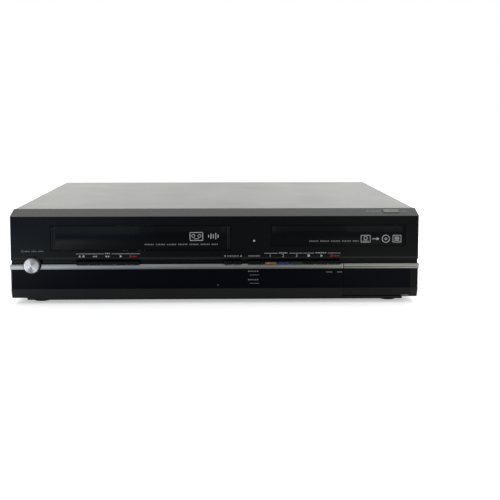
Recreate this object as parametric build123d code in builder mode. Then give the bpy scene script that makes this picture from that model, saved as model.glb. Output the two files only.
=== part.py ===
from build123d import *
import os
from math import atan2, cos, pi, radians, sin, tan

# A front-loading video deck: a tape bay on the left, a disc tray on the right, a hard disk inside.
# The front faces -Y and +X is to the viewer's right. "Depth" is measured back from the face plane.
# The origin is on the floor, under the middle of the whole box.

# Heights of the front, from the floor up
foot_height = 7.0
chin_clearance = 4.2
chin_rise = 12.6
panel_height = 20.7
trim_height = 5.4
channel_height = 4.1
lip_height = 3.5
face_height = 42.8
strip_rise = 6.7
panel_bottom = chin_clearance + chin_rise
trim_bottom = panel_bottom + panel_height
channel_bottom = trim_bottom + trim_height
lip_bottom = channel_bottom + channel_height
face_bottom = lip_bottom + lip_height
face_top = face_bottom + face_height
unit_height = face_top + strip_rise

# Widths and depths of the whole unit
unit_width = 430.0
trim_proud = 0.5
bezel_taper = 2.4
cover_step = 1.0
bezel_depth = 16.0
power_reach = 6.0
aerial_reach = 9.0

# Walls and clearances
bezel_wall = 2.5
sheet = 1.0
rest_gap = 0.3
slide_gap = 0.35
running_gap = 0.1

# Front moulding
panel_setback = 0.4
chin_setback = 5.0
trim_seat = 2.1
channel_depth = 4.0
top_edge_radius = 0.9
corner_cut_width = 16.0
corner_cut_height = 2.6
window_thickness = 2.0
trim_bulge = 0.5
trim_wrap = 4.0

# Power button
power_from_end = 22.8
power_radius = 8.0
power_rim = 1.2
power_travel = 1.2
power_floor = 2.0
power_z = channel_bottom - 0.3

# Keys in the channel
key_reach = 4.6
key_travel = 0.8
key_pitch = 13.2
key_split = 0.4
key_back = 2.6
stem_width = 5.0
stem_height = 2.0
deck_keys_from_end = 68.7
rocker_width = 19.4
rocker_gap = 6.0
dubbing_width = 16.8
dubbing_gap = 0.5
bank_pitch = 13.4
bank_keys = 6
bank_gap = 3.5
switch_radius = 1.6
board_gap = 0.2

# Open/close key on the sloped strip
open_key_from_end = 28.5
open_key_width = 16.0
open_key_length = 6.6
open_key_proud = 0.6
open_key_depth = 9.5

# Cassette door
door_share = 0.49146
door_width = 188.2
door_height = 26.2
door_rise = 7.2
door_thickness = 2.5
door_hinge_rise = 4.2
door_hinge_depth = 5.0
door_ear_radius = 2.0
door_pin_radius = 1.2
door_pin_length = 3.5
door_inset = 0.3
door_bottom = face_bottom + door_rise
door_top = door_bottom + door_height
door_hinge_z = door_top + door_hinge_rise

# Disc tray
tray_from_end = 14.4
tray_cap_side = 6.7
tray_cap_height = 22.0
tray_cap_rise = 11.3
tray_cap_thickness = 3.2
tray_side = 3.0
tray_thickness = 7.0
tray_lift = 2.2
tray_tail = 6.0
tray_travel = 138.0
disc_radius = 61.0
disc_recess = 2.2
spindle_depth = 78.0
tray_window_width = 42.0
tray_width = 2 * (disc_radius + tray_side)
tray_cap_width = tray_width + 2 * tray_cap_side
tray_cap_bottom = face_bottom + tray_cap_rise
tray_cap_top = tray_cap_bottom + tray_cap_height
tray_bottom = tray_cap_bottom + tray_lift
tray_top = tray_bottom + tray_thickness

# Status lamp, between the two doors
lamp_share = 0.57944
lamp_rise = 17.0
lamp_radius = 1.0

# Jack flap and the jacks behind it
flap_from_end = 8.7
flap_width = 70.6
flap_bottom = 8.2
flap_thickness = 2.2
flap_hinge_depth = 4.6
flap_hinge_rise = 1.0
flap_swing_gap = 1.0
flap_pin_radius = 0.8
flap_pin_length = 1.6
flap_barrel_radius = 1.2
jack_count = 4
jack_pitch = 15.0
jack_radius = 4.15
jack_bore = 1.7
jack_panel_depth = 9.0
jack_length = 5.0

# Display and key board behind the front
window_from_end = 2.1
window_gap = 0.5
display_width = 124.0
display_height = 18.0
display_depth = 7.0
board_thickness = 1.6
key_board_depth = 12.0
key_board_left_gap = 7.4
key_board_right_gap = 4.7
key_board_bottom = 14.0
key_board_top = 50.0

# Chassis pan, feet and boards
pan_step = 1.3
pan_front = 17.0
pan_flange = 12.0
pan_bottom = foot_height
pan_top = pan_bottom + sheet
foot_radius = 9.5
foot_from_end = 27.5
foot_front = 28.0
foot_from_back = 25.0
board_lift = 6.0
board_bottom = pan_top + board_lift
board_top = board_bottom + board_thickness

# Cover
cover_bottom = 9.0
cover_bend = 2.4
cover_lip = 9.0
vent_count = 14
vent_pitch = 7.0
vent_width = 2.5
vent_height = 32.0
vent_from_back = 120.0
screw_radius = 1.5
screw_head_radius = 3.5
screw_head_height = 1.3
side_screw_rise = 5.0
side_screw_front = 60.0
side_screw_from_back = 55.0
rear_screw_from_end = 34.5

# Rear sockets, those on the main board by their share of its width
inlet_from_end = 29.5
inlet_z = 27.0
inlet_pin_pitch = 8.6
fan_from_end = 96.5
fan_z = 54.0
fan_size = 60.0
fan_thickness = 15.0
fan_bore = 28.0
fan_hub = 11.5
fan_blades = 7
fan_guard_rings = 3
wire = 2.0
scart_share = 0.132
scart_width = 51.0
scart_height = 14.8
scart_pitch = 26.0
scart_cavity_depth = 9.0
av_share = 0.412
av_pitch = 14.0
av_columns = 3
av_rows = 2
av_length = 9.0
hdmi_share = 0.596
hdmi_width = 15.0
hdmi_height = 5.6
tuner_share = 0.876
tuner_width = 48.0
tuner_height = 46.0
aerial_radius = 4.75
aerial_pitch = 20.0

# Power supply and hard disk
supply_from_end = 8.5
supply_width = 144.0
supply_length = 80.0
supply_gap = 13.0
socket_room = 18.0
transformer_in = 34.0
transformer_back = 33.0
transformer_size = 38.0
transformer_height = 34.0
disk_width = 147.0
disk_length = 101.6
disk_height = 26.1
disk_front = 55.0
disk_lift = 2.0

# Disc drive
drive_side = 8.0
drive_wall = 2.5
drive_front = 16.5
drive_tail = 16.0
drive_bottom = 46.0
drive_leg = 3.6
ledge_width = 10.0
bridge_rise = 9.0
bridge_thickness = 1.5
bridge_length = 46.0
clamper_radius = 15.0
clamper_neck = 9.0
turntable_radius = 15.0
spindle_radius = 1.5
motor_radius = 11.0
traverse_side = 17.0
traverse_front = 42.0
traverse_hinge_depth = 165.0
traverse_thickness = 2.0
traverse_rise = 4.0
sled_start = 24.0
sled_travel = 32.0
sled_length = 22.0
sled_height = 6.0
rail_half = 24.0
rail_radius = 1.5
gear_teeth = 20
gear_radius = 10.0
gear_depth = 28.0
rack_height = 2.0
tooth_addendum = 0.8
tooth_root = 1.1
tooth_half = 0.5

# Tape deck
deck_side = 7.0
deck_wall = 2.0
deck_front = 17.0
deck_tail = 12.0
deck_plate_thickness = 2.0
deck_drop = 27.7
wall_front = 40.0
wall_back = 152.0
carriage_in = 60.0
carriage_down = 20.0
basket_front = 34.0
basket_length = 52.0
basket_side = 2.9
basket_wall = 1.5
basket_height = 29.0
ledge_in = 8.0
slot_pin_radius = 1.5
basket_pin_depth = 58.0
basket_pin_rise = 15.0
slider_plate = 1.5
slider_length = 28.0
slider_bar = 1.5
slider_pin_pitch = 16.0
reel_half = 46.0
reel_depth = 97.0
reel_radius = 14.0
reel_hub = 5.5
drum_behind_reels = 92.0
drum_radius = 31.0
drum_split = 0.5
drum_lower = 16.0
drum_upper = 15.0
capstan_x = 58.0
capstan_before_drum = 24.0
capstan_radius = 1.5
flywheel_radius = 20.0
pinch_pivot_side = 24.0
pinch_pivot_back = 11.0
pinch_arm_length = 22.0
pinch_rest_angle = 167.0
pinch_roller = 6.0
deck_top = door_bottom - deck_drop
deck_under = deck_top - deck_plate_thickness

# Depths of the pieces behind one another, which add up to the whole depth
tray_back_depth = gear_depth + tray_travel + tray_tail
drive_back = tray_back_depth + drive_tail
drum_depth = reel_depth + drum_behind_reels
capstan_depth = drum_depth - capstan_before_drum
pinch_pivot_x = capstan_x + pinch_pivot_side
pinch_pivot_depth = capstan_depth + pinch_pivot_back
deck_back = drum_depth + drum_radius + deck_tail
supply_front = deck_back + supply_gap
supply_back = supply_front + supply_length
panel_front = supply_back + socket_room
panel_back = panel_front + sheet
body_depth = panel_back + sheet
overall_depth = power_reach + body_depth + aerial_reach
face_y = power_reach - overall_depth / 2
board_front = drive_back + 12.0
foot_back = body_depth - foot_from_back
vent_start = body_depth - vent_from_back
side_screw_depths = (side_screw_front, body_depth - side_screw_from_back)

# Places across the unit, all from its two ends
bezel_width = unit_width - 2 * trim_proud
bezel_back_width = bezel_width - bezel_taper
cover_width = bezel_width - 2 * cover_step
pan_width = cover_width - 2 * pan_step
bezel_half = bezel_width / 2
corner_cut_half = bezel_half - corner_cut_width
power_x = power_from_end - bezel_half
deck_keys_left = deck_keys_from_end - bezel_half
flap_right = bezel_half - flap_from_end
flap_left = flap_right - flap_width
bank_left = flap_left - bank_gap - bank_keys * bank_pitch
dubbing_left = bank_left - dubbing_gap - dubbing_width
rocker_x = dubbing_left - rocker_gap - rocker_width / 2
window_left = window_from_end - bezel_half
window_right = flap_left - window_gap
key_board_left = window_left + key_board_left_gap
key_board_right = window_right - key_board_right_gap
open_key_x = bezel_half - open_key_from_end
foot_x = bezel_half - foot_from_end
rear_screw_x = bezel_half - rear_screw_from_end
rear_screw_xs = (-rear_screw_x, 0.0, rear_screw_x)
tray_x = bezel_half - tray_from_end - tray_cap_width / 2
drive_half = tray_width / 2 + drive_side
traverse_half = drive_half - traverse_side
drive_left = tray_x - drive_half - drive_wall - drive_leg
basket_half = door_width / 2 + basket_side
deck_half = basket_half + deck_side
door_x = drive_left - door_share * (drive_left + pan_width / 2)
door_right = door_x + door_width / 2
lamp_x = door_right + lamp_share * (tray_x - tray_cap_width / 2 - door_right)
supply_left = supply_from_end - bezel_half
supply_right = supply_left + supply_width
transformer_x = supply_left + transformer_in
transformer_depth = supply_back - transformer_back
inlet_x = inlet_from_end - bezel_half
fan_x = fan_from_end - bezel_half
board_left = supply_right + 17.0
board_right = bezel_half - 9.5
board_width = board_right - board_left
scart_x = board_left + scart_share * board_width
av_x = board_left + av_share * board_width
hdmi_x = board_left + hdmi_share * board_width
tuner_x = board_left + tuner_share * board_width

# Values that several pieces share
strip_angle = atan2(strip_rise, bezel_depth)
window_back = panel_setback + window_thickness
key_z = channel_bottom + channel_height / 2
switch_front = key_board_depth - 2.6
basket_bottom = door_bottom - 1.0
basket_pin_z = basket_bottom + basket_pin_rise
guide_pin_z = basket_bottom + basket_height - 4.2
slot_half = slot_pin_radius + slide_gap
slider_outer = deck_half - deck_wall - 2.2
foot_spots = [(sx * foot_x, depth) for depth in (foot_front, foot_back) for sx in (-1, 1)]
stem_end = switch_front - key_travel - board_gap


def at(depth, z):
    return (face_y + depth, z)


def slab(x, depth, z, mode=Mode.ADD):
    # a block between two values of x, of depth and of height
    with BuildSketch(Plane.XY.offset(z[0])) as outline:
        with Locations(((x[0] + x[1]) / 2, face_y + (depth[0] + depth[1]) / 2)):
            Rectangle(x[1] - x[0], depth[1] - depth[0])
    extrude(outline.sketch, amount=z[1] - z[0], mode=mode)


def post(x, depth, z, radius, mode=Mode.ADD):
    # an upright round bar
    with BuildSketch(Plane.XY.offset(z[0])) as outline:
        with Locations((x, face_y + depth)):
            Circle(radius)
    extrude(outline.sketch, amount=z[1] - z[0], mode=mode)


def cross_rod(x, depth, z, radius, mode=Mode.ADD):
    # a round bar that runs from side to side
    with BuildSketch(Plane.YZ.offset(x[0])) as outline:
        with Locations(at(depth, z)):
            Circle(radius)
    extrude(outline.sketch, amount=x[1] - x[0], mode=mode)


def deep_rod(x, depth, z, radius, mode=Mode.ADD):
    # a round bar that runs from front to back
    with BuildSketch(Plane.XZ.offset(-face_y - depth[0])) as outline:
        with Locations((x, z)):
            Circle(radius)
    extrude(outline.sketch, amount=depth[0] - depth[1], mode=mode)


def side_section(x, corners, mode=Mode.ADD):
    # a prism across the unit, from corners given as depth, height and corner radius
    with BuildSketch(Plane.YZ.offset(x[0])) as outline:
        with BuildLine():
            FilletPolyline(
                *[at(depth, z) for depth, z, radius in corners],
                radius=[radius for depth, z, radius in corners],
                close=True,
            )
        make_face()
    extrude(outline.sketch, amount=x[1] - x[0], mode=mode)


def strip_top(depth, inset=0.0):
    # height of the sloped strip at a depth, or of a line that lies inset below it
    return face_top + depth * tan(strip_angle) - inset / cos(strip_angle)


def key_spots():
    # the middle and width of every key that pushes straight in
    spots = {}
    for count, name in enumerate(("eject", "rewind", "forward", "play", "record")):
        spots["deck_key_" + name] = (deck_keys_left + (count + 0.5) * key_pitch, key_pitch)
    spots["dubbing_key"] = (dubbing_left + dubbing_width / 2, dubbing_width)
    bank = ("select_key_tape", "select_key_hard_disk", "select_key_disc")
    bank = bank + ("disc_key_stop", "disc_key_play", "disc_key_record")
    for count, name in enumerate(bank):
        spots[name] = (bank_left + (count + 0.5) * bank_pitch, bank_pitch)
    return spots


def flap_outline(inset):
    # the flap's outer side follows the panel and the chin below it
    chin_slope = (chin_setback - panel_setback) / chin_rise
    low_depth = panel_setback + (panel_bottom - flap_bottom) * chin_slope
    return [
        (low_depth + inset, flap_bottom, 0.0),
        (panel_setback + inset, panel_bottom, 0.4),
        (panel_setback + inset, trim_bottom - rest_gap, 0.0),
    ]


os.makedirs("parts", exist_ok=True)

# The bezel is one moulding: a stepped section along the unit, hollow behind, with its openings cut
bezel_corners = [
    (bezel_depth, chin_clearance, 0.0),
    (chin_setback, chin_clearance, 1.0),
    (panel_setback, panel_bottom, 0.4),
    (panel_setback, trim_bottom, 0.0),
    (trim_seat, trim_bottom, 0.0),
    (trim_seat, channel_bottom, 0.0),
    (channel_depth, channel_bottom, 0.0),
    (channel_depth, lip_bottom, 0.0),
    (0.0, lip_bottom, lip_height - 0.1),
    (0.0, face_top, top_edge_radius),
    (bezel_depth, unit_height, 0.0),
]
inner_corners = [
    (bezel_depth + 1, strip_top(bezel_depth + 1, bezel_wall), 0.0),
    (bezel_wall, strip_top(bezel_wall, bezel_wall), 0.0),
    (bezel_wall, face_bottom + 1.5, 0.0),
    (channel_depth + bezel_wall, lip_bottom + 1.0, 0.0),
    (channel_depth + bezel_wall, trim_bottom - 1.0, 0.0),
    (window_back + bezel_wall, trim_bottom - 3.0, 0.0),
    (window_back + bezel_wall, panel_bottom + 1.0, 0.0),
    (chin_setback + bezel_wall, chin_clearance + bezel_wall, 0.0),
    (bezel_depth + 1, chin_clearance + bezel_wall, 0.0),
]
with BuildPart() as front_bezel:
    side_section((-bezel_width / 2, bezel_width / 2), bezel_corners)
    with BuildSketch() as plan:
        with BuildLine():
            FilletPolyline(
                (-bezel_width / 2, face_y),
                (bezel_width / 2, face_y),
                (bezel_back_width / 2, face_y + bezel_depth),
                (-bezel_back_width / 2, face_y + bezel_depth),
                radius=[1.5, 1.5, 0.0, 0.0],
                close=True,
            )
        make_face()
    extrude(plan.sketch, amount=unit_height, mode=Mode.INTERSECT)
    inner_half = bezel_width / 2 - bezel_wall
    side_section((-inner_half, inner_half), inner_corners, mode=Mode.SUBTRACT)
    # bosses for the key board
    boss_xs = (key_board_left + 7.0, deck_keys_left + 5 * key_pitch + 9.8,
               rocker_x - rocker_width / 2 - 8.6, bank_left + 5 * bank_pitch)
    for boss_x in boss_xs:
        boss_depth = (channel_depth + bezel_wall - 0.5, key_board_depth)
        deep_rod(boss_x, boss_depth, key_board_top - 3.0, 2.5)
    # lugs for the cassette door's pins, above and beside its opening
    for side in (-1, 1):
        pin_x = door_x + side * (door_width / 2 + 2.5)
        lug_z = (door_hinge_z - 3.0, door_hinge_z + 2.6)
        slab((pin_x - 2.0, pin_x + 2.0), (1.5, door_hinge_depth + 2.6), lug_z)
    # lugs for the jack flap's pins
    flap_hinge_z = flap_bottom + flap_hinge_rise
    for lug_x in ((flap_left - 5.5, flap_left), (flap_right, flap_right + 5.5)):
        slab(lug_x, (chin_setback, flap_hinge_depth + 2.4), (flap_bottom - 2.0, flap_hinge_z + 2.4))
    # openings
    door_edges = (door_x - door_width / 2 - rest_gap, door_x + door_width / 2 + rest_gap)
    slab(door_edges, (-1.0, 30.0), (door_bottom - 0.5, door_top + rest_gap), mode=Mode.SUBTRACT)
    ear_edges = (door_edges[0], door_edges[1])
    slab(ear_edges, (bezel_wall, 30.0), (door_top, door_hinge_z + 4.0), mode=Mode.SUBTRACT)
    cap_half = tray_cap_width / 2 + rest_gap
    cap_rows = (tray_cap_bottom - rest_gap, tray_cap_top + rest_gap)
    slab((tray_x - cap_half, tray_x + cap_half), (-1.0, 30.0), cap_rows, mode=Mode.SUBTRACT)
    slab((window_left - 0.1, window_right + 0.1), (-1.0, window_back),
         (panel_bottom, trim_bottom), mode=Mode.SUBTRACT)
    slab((-display_width / 2, display_width / 2), (0.0, 12.0),
         (panel_bottom + 1.5, panel_bottom + 1.5 + display_height), mode=Mode.SUBTRACT)
    slab((flap_left - rest_gap, flap_right + rest_gap), (-1.0, 12.0),
         (flap_bottom - flap_swing_gap, trim_bottom), mode=Mode.SUBTRACT)
    deep_rod(power_x, (-1.0, 12.0), power_z, power_radius + rest_gap + power_rim + 0.05,
             mode=Mode.SUBTRACT)
    deep_rod(lamp_x, (-1.0, 12.0), face_bottom + lamp_rise, lamp_radius + 0.05,
             mode=Mode.SUBTRACT)
    # holes for the hinge pins
    for side in (-1, 1):
        pin_x = door_x + side * (door_width / 2 + 2.5)
        cross_rod((pin_x - 3.0, pin_x + 3.0), door_hinge_depth, door_hinge_z,
                  door_pin_radius + running_gap, mode=Mode.SUBTRACT)
    cross_rod((flap_left - flap_pin_length - 1.0, flap_right + flap_pin_length + 1.0),
              flap_hinge_depth, flap_hinge_z, flap_pin_radius + running_gap, mode=Mode.SUBTRACT)
    # slots for the stems of the keys, and the rocker's two stems and pivot
    slot_z = (key_z - stem_height / 2 - slide_gap, key_z + stem_height / 2 + slide_gap)
    slot_half_width = stem_width / 2 + slide_gap
    for spot_x, spot_width in key_spots().values():
        slab((spot_x - slot_half_width, spot_x + slot_half_width), (1.0, 12.0), slot_z,
             mode=Mode.SUBTRACT)
    for side in (-1, 1):
        middle = rocker_x + side * rocker_width * 0.3
        slab((middle - 2.2, middle + 2.2), (1.0, 12.0), slot_z, mode=Mode.SUBTRACT)
    post(rocker_x, 3.1, (channel_bottom - 1.2, lip_bottom + 1.3), 0.9, mode=Mode.SUBTRACT)
    # the open/close key's slot, square to the sloped strip
    open_key_plane = Plane(
        origin=(open_key_x, face_y + open_key_depth, strip_top(open_key_depth)),
        x_dir=(1, 0, 0),
        z_dir=(0, -sin(strip_angle), cos(strip_angle)),
    )
    with BuildSketch(open_key_plane) as key_slot:
        Rectangle(open_key_width + 2 * slide_gap, open_key_length + 2 * slide_gap)
    extrude(key_slot.sketch, amount=4.0, both=True, mode=Mode.SUBTRACT)
    # the chin is cut back at both bottom corners
    for side in (-1, 1):
        cut_x = sorted((side * corner_cut_half, side * (bezel_width / 2 + 1)))
        slab(cut_x, (-1.0, bezel_depth + 1), (0.0, chin_clearance + corner_cut_height),
             mode=Mode.SUBTRACT)
front_bezel.part.label = "front_bezel"
export_step(front_bezel.part, "parts/front_bezel.step")

# Silver trim along the whole front, with a shallow bulge and short returns round the ends
with BuildPart() as trim_strip:
    side_section(
        (-unit_width / 2, unit_width / 2),
        [
            (trim_seat, trim_bottom, 0.0),
            (0.2, trim_bottom, 0.0),
            (0.2 - trim_bulge, trim_bottom + trim_height * 0.36, 0.8),
            (0.2 - trim_bulge, trim_bottom + trim_height * 0.72, 0.8),
            (0.2, channel_bottom, 0.0),
            (trim_seat, channel_bottom, 0.0),
        ],
    )
    for side in (-1, 1):
        wrap_x = sorted((side * (bezel_width / 2 + 0.02), side * unit_width / 2))
        slab(wrap_x, (trim_seat - 1.0, trim_seat + trim_wrap), (trim_bottom, channel_bottom))
    deep_rod(power_x, (-2.0, 12.0), power_z, power_radius + rest_gap + power_rim + 0.05,
             mode=Mode.SUBTRACT)
trim_strip.part.label = "trim_strip"
export_step(trim_strip.part, "parts/trim_strip.step")

# Smoked window over the display, from the left end to the jack flap
with BuildPart() as display_window:
    slab((window_left, window_right), (panel_setback, window_back), (panel_bottom, trim_bottom))
    deep_rod(power_x, (-1.0, 12.0), power_z, power_radius + rest_gap + power_rim + 0.05,
             mode=Mode.SUBTRACT)
display_window.part.label = "display_window"
export_step(display_window.part, "parts/display_window.step")

# Cup that rings the power button, with a hole in its floor for the stem
ring_radius = power_radius + rest_gap + power_rim
cup_back = switch_front - power_travel - 0.2
with BuildPart() as power_ring:
    deep_rod(power_x, (-0.8, cup_back), power_z, ring_radius)
    deep_rod(power_x, (-2.0, cup_back - power_floor), power_z, power_radius + rest_gap,
             mode=Mode.SUBTRACT)
    deep_rod(power_x, (0.0, 12.0), power_z, 2.5 + rest_gap, mode=Mode.SUBTRACT)
power_ring.part.label = "power_ring"
export_step(power_ring.part, "parts/power_ring.step")

# Turned power button with a chamfered rim, and its stem
with BuildPart() as power_button:
    deep_rod(power_x, (-power_reach, 2.0), power_z, power_radius)
    front_edge = power_button.edges().filter_by(GeomType.CIRCLE).sort_by(Axis.Y)[0]
    chamfer(front_edge, 0.8)
    deep_rod(power_x, (2.0, switch_front - power_travel - 0.1), power_z, 2.5)
power_button.part.label = "power_button"
export_step(power_button.part, "parts/power_button.step")

# Light pipe of the status lamp
with BuildPart() as status_lamp:
    deep_rod(lamp_x, (-0.1, 6.0), face_bottom + lamp_rise, lamp_radius)
status_lamp.part.label = "status_lamp"
export_step(status_lamp.part, "parts/status_lamp.step")

# Push keys, all with one section: a rounded nose that stands out of the channel, and a stem
for key_name, (spot_x, spot_width) in key_spots().items():
    with BuildPart() as push_key:
        cap_edges = (spot_x - spot_width / 2 + key_split / 2, spot_x + spot_width / 2 - key_split / 2)
        side_section(
            cap_edges,
            [
                (key_back, channel_bottom + rest_gap, 0.0),
                (-key_reach, channel_bottom + rest_gap, 0.5),
                (-key_reach, lip_bottom - rest_gap, 1.2),
                (key_back, lip_bottom - rest_gap, 0.0),
            ],
        )
        slab((spot_x - stem_width / 2, spot_x + stem_width / 2), (key_back, stem_end),
             (key_z - stem_height / 2, key_z + stem_height / 2))
    push_key.part.label = key_name
    export_step(push_key.part, "parts/" + key_name + ".step")

# Programme rocker: two lobes on an upright pivot, with a stem behind each lobe
with BuildPart() as program_rocker:
    cap_z = (channel_bottom + rest_gap, lip_bottom - rest_gap)
    with BuildSketch(Plane.XY.offset(cap_z[0])) as lobes:
        for side in (-1, 1):
            with Locations((rocker_x + side * rocker_width / 4, face_y + (key_back - 4.0) / 2 - 0.6)):
                RectangleRounded(rocker_width / 2 - 0.6, key_back + 3.0, 2.4)
        with Locations((rocker_x, face_y + (key_back - 0.4) / 2)):
            Rectangle(rocker_width * 0.6, key_back + 0.4)
        with Locations((rocker_x, face_y + 3.0)):
            Rectangle(3.0, 1.4)
    extrude(lobes.sketch, amount=cap_z[1] - cap_z[0])
    post(rocker_x, 3.1, (channel_bottom - 0.9, lip_bottom + 1.0), 0.8)
    for side in (-1, 1):
        middle = rocker_x + side * rocker_width * 0.3
        slab((middle - 1.2, middle + 1.2), (0.0, stem_end),
             (key_z - stem_height / 2, key_z + stem_height / 2))
program_rocker.part.label = "program_rocker"
export_step(program_rocker.part, "parts/program_rocker.step")

# Open/close key on the sloped strip: a low slanted pad with a flange below the bezel's skin
with BuildPart() as open_close_key:
    with BuildSketch(open_key_plane) as pad:
        Rectangle(open_key_width, open_key_length)
    extrude(pad.sketch, amount=open_key_proud)
    extrude(pad.sketch, amount=-(bezel_wall + 1.2))
    flange_plane = open_key_plane.offset(-(bezel_wall + 0.2))
    with BuildSketch(flange_plane) as flange:
        Rectangle(open_key_width + 3.0, open_key_length + 3.0)
    extrude(flange.sketch, amount=-1.0)
open_close_key.part.label = "open_close_key"
export_step(open_close_key.part, "parts/open_close_key.step")

# Cassette door: a flat pane with a hinge ear and pin at each end of its top edge
door_back = door_inset + door_thickness
with BuildPart() as cassette_door:
    pane_x = (door_x - door_width / 2, door_x + door_width / 2)
    slab(pane_x, (door_inset, door_back), (door_bottom, door_top))
    for side in (-1, 1):
        ear_x = sorted((door_x + side * door_width / 2, door_x + side * (door_width / 2 - 5.0)))
        side_section(
            ear_x,
            [
                (door_back - 0.4, door_top - 4.0, 0.0),
                (door_hinge_depth + door_ear_radius, door_hinge_z, 0.0),
                (door_hinge_depth - door_ear_radius, door_hinge_z, 0.0),
                (door_back + 0.1, door_top - 0.5, 0.0),
                (door_back - 0.4, door_top - 0.5, 0.0),
            ],
        )
        cross_rod(ear_x, door_hinge_depth, door_hinge_z, door_ear_radius)
        pin_ends = sorted((door_x + side * (door_width / 2 - 1.0),
                           door_x + side * (door_width / 2 + door_pin_length)))
        cross_rod(pin_ends, door_hinge_depth, door_hinge_z, door_pin_radius)
cassette_door.part.label = "cassette_door"
export_step(cassette_door.part, "parts/cassette_door.step")

# Jack flap: a shell that follows the panel and chin, with a barrel and pins along its foot
with BuildPart() as jack_flap:
    outer_line = flap_outline(0.0)
    inner_line = flap_outline(flap_thickness)
    side_section((flap_left, flap_right), outer_line + inner_line[::-1])
    cross_rod((flap_left, flap_right), flap_hinge_depth, flap_hinge_z, flap_barrel_radius)
    side_section(
        (flap_left, flap_right),
        [
            (flap_hinge_depth - 1.1, flap_bottom, 0.0),
            (flap_hinge_depth, flap_hinge_z - flap_barrel_radius, 0.0),
            (flap_hinge_depth, flap_hinge_z + flap_barrel_radius, 0.0),
            (flap_hinge_depth - 1.1, flap_hinge_z + flap_barrel_radius, 0.0),
        ],
    )
    cross_rod((flap_left - flap_pin_length, flap_right + flap_pin_length),
              flap_hinge_depth, flap_hinge_z, flap_pin_radius)
jack_flap.part.label = "jack_flap"
export_step(jack_flap.part, "parts/jack_flap.step")

# Front jacks: a back plate with a row of round sockets, and the block behind it
with BuildPart() as front_jacks:
    jack_middle = (flap_left + flap_right) / 2
    jack_z = (flap_bottom + trim_bottom) / 2 + 2.0
    slab((flap_left - 1.0, flap_right - 1.0), (jack_panel_depth, jack_panel_depth + 2.0),
         (flap_hinge_z + 4.0, trim_bottom - 2.0))
    slab((flap_left + 2.0, flap_right - 4.0), (jack_panel_depth + 2.0, bezel_depth + 12.0),
         (pan_top, trim_bottom - 6.0))
    for count in range(jack_count):
        spot_x = jack_middle + (count - (jack_count - 1) / 2) * jack_pitch
        deep_rod(spot_x, (jack_panel_depth - jack_length, jack_panel_depth), jack_z, jack_radius)
        deep_rod(spot_x, (0.0, jack_panel_depth + 6.0), jack_z, jack_bore, mode=Mode.SUBTRACT)
front_jacks.part.label = "front_jacks"
export_step(front_jacks.part, "parts/front_jacks.step")

# Display tube behind the window
with BuildPart() as display_module:
    slab((-display_width / 2 + 0.5, display_width / 2 - 0.5), (key_board_depth - display_depth, key_board_depth),
         (panel_bottom + 2.0, panel_bottom + 1.0 + display_height))
display_module.part.label = "display_module"
export_step(display_module.part, "parts/display_module.step")

# Key board, with a small push switch behind every key
with BuildPart() as key_board:
    slab((key_board_left, key_board_right), (key_board_depth, key_board_depth + board_thickness),
         (key_board_bottom, key_board_top))
    for spot_x, spot_width in key_spots().values():
        deep_rod(spot_x, (switch_front, key_board_depth), key_z, switch_radius)
    for side in (-1, 1):
        deep_rod(rocker_x + side * rocker_width * 0.3, (switch_front + 0.3, key_board_depth),
                 key_z, switch_radius)
    deep_rod(power_x, (switch_front + 0.1, key_board_depth), power_z, 2.0)
key_board.part.label = "key_board"
export_step(key_board.part, "parts/key_board.step")

# Chassis pan with turned-up flanges, and posts for all that stands on it
deck_posts = [(door_x + sx * (deck_half - 9.0), depth) for sx in (-1, 1)
              for depth in (deck_front + 12.0, deck_back - 12.0)]
board_posts = [(board_left + 9.0, supply_front + 9.0), (board_left + 9.0, panel_front - 9.0),
               (board_left + 0.516 * board_width, supply_front + 9.0),
               (board_left + 0.708 * board_width, panel_front - 9.0),
               (board_right - 7.0, supply_front + 9.0), (board_right - 7.0, board_front + 8.0),
               (board_left + 0.348 * board_width, board_front + 8.0)]
supply_posts = [(supply_left + 7.0, supply_front + 7.0), (supply_right - 7.0, supply_front + 7.0),
                (supply_left + 7.0, supply_back - 7.0), (supply_right - 7.0, supply_back - 7.0)]
disk_posts = [(tray_x + sx * (disk_width / 2 - 8.0), depth) for sx in (-1, 1)
              for depth in (disk_front + 12.0, disk_front + disk_length - 12.0)]
with BuildPart() as bottom_chassis:
    half = pan_width / 2
    slab((-half, half), (pan_front, panel_front), (pan_bottom, pan_top))
    for side in (-1, 1):
        flange_x = sorted((side * half, side * (half - sheet)))
        slab(flange_x, (pan_front, panel_front), (pan_top, pan_top + pan_flange))
        for depth in side_screw_depths:
            hole_x = sorted((side * (half - 3.0), side * (half + 3.0)))
            cross_rod(hole_x, depth, cover_bottom + side_screw_rise, screw_radius + 0.05,
                      mode=Mode.SUBTRACT)
    for spot_x, depth in deck_posts:
        post(spot_x, depth, (pan_top, deck_under), 4.0)
    for spot_x, depth in board_posts + supply_posts:
        post(spot_x, depth, (pan_top, board_bottom), 3.0)
    for spot_x, depth in disk_posts:
        post(spot_x, depth, (pan_top, pan_top + disk_lift), 4.0)
bottom_chassis.part.label = "bottom_chassis"
export_step(bottom_chassis.part, "parts/bottom_chassis.step")

# Four feet: round cups with a softened edge
with BuildPart() as feet:
    for spot_x, depth in foot_spots:
        post(spot_x, depth, (0.0, foot_height), foot_radius)
    chamfer(feet.edges().filter_by(GeomType.CIRCLE).group_by(Axis.Z)[0], 0.8)
feet.part.label = "feet"
export_step(feet.part, "parts/feet.step")

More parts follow.
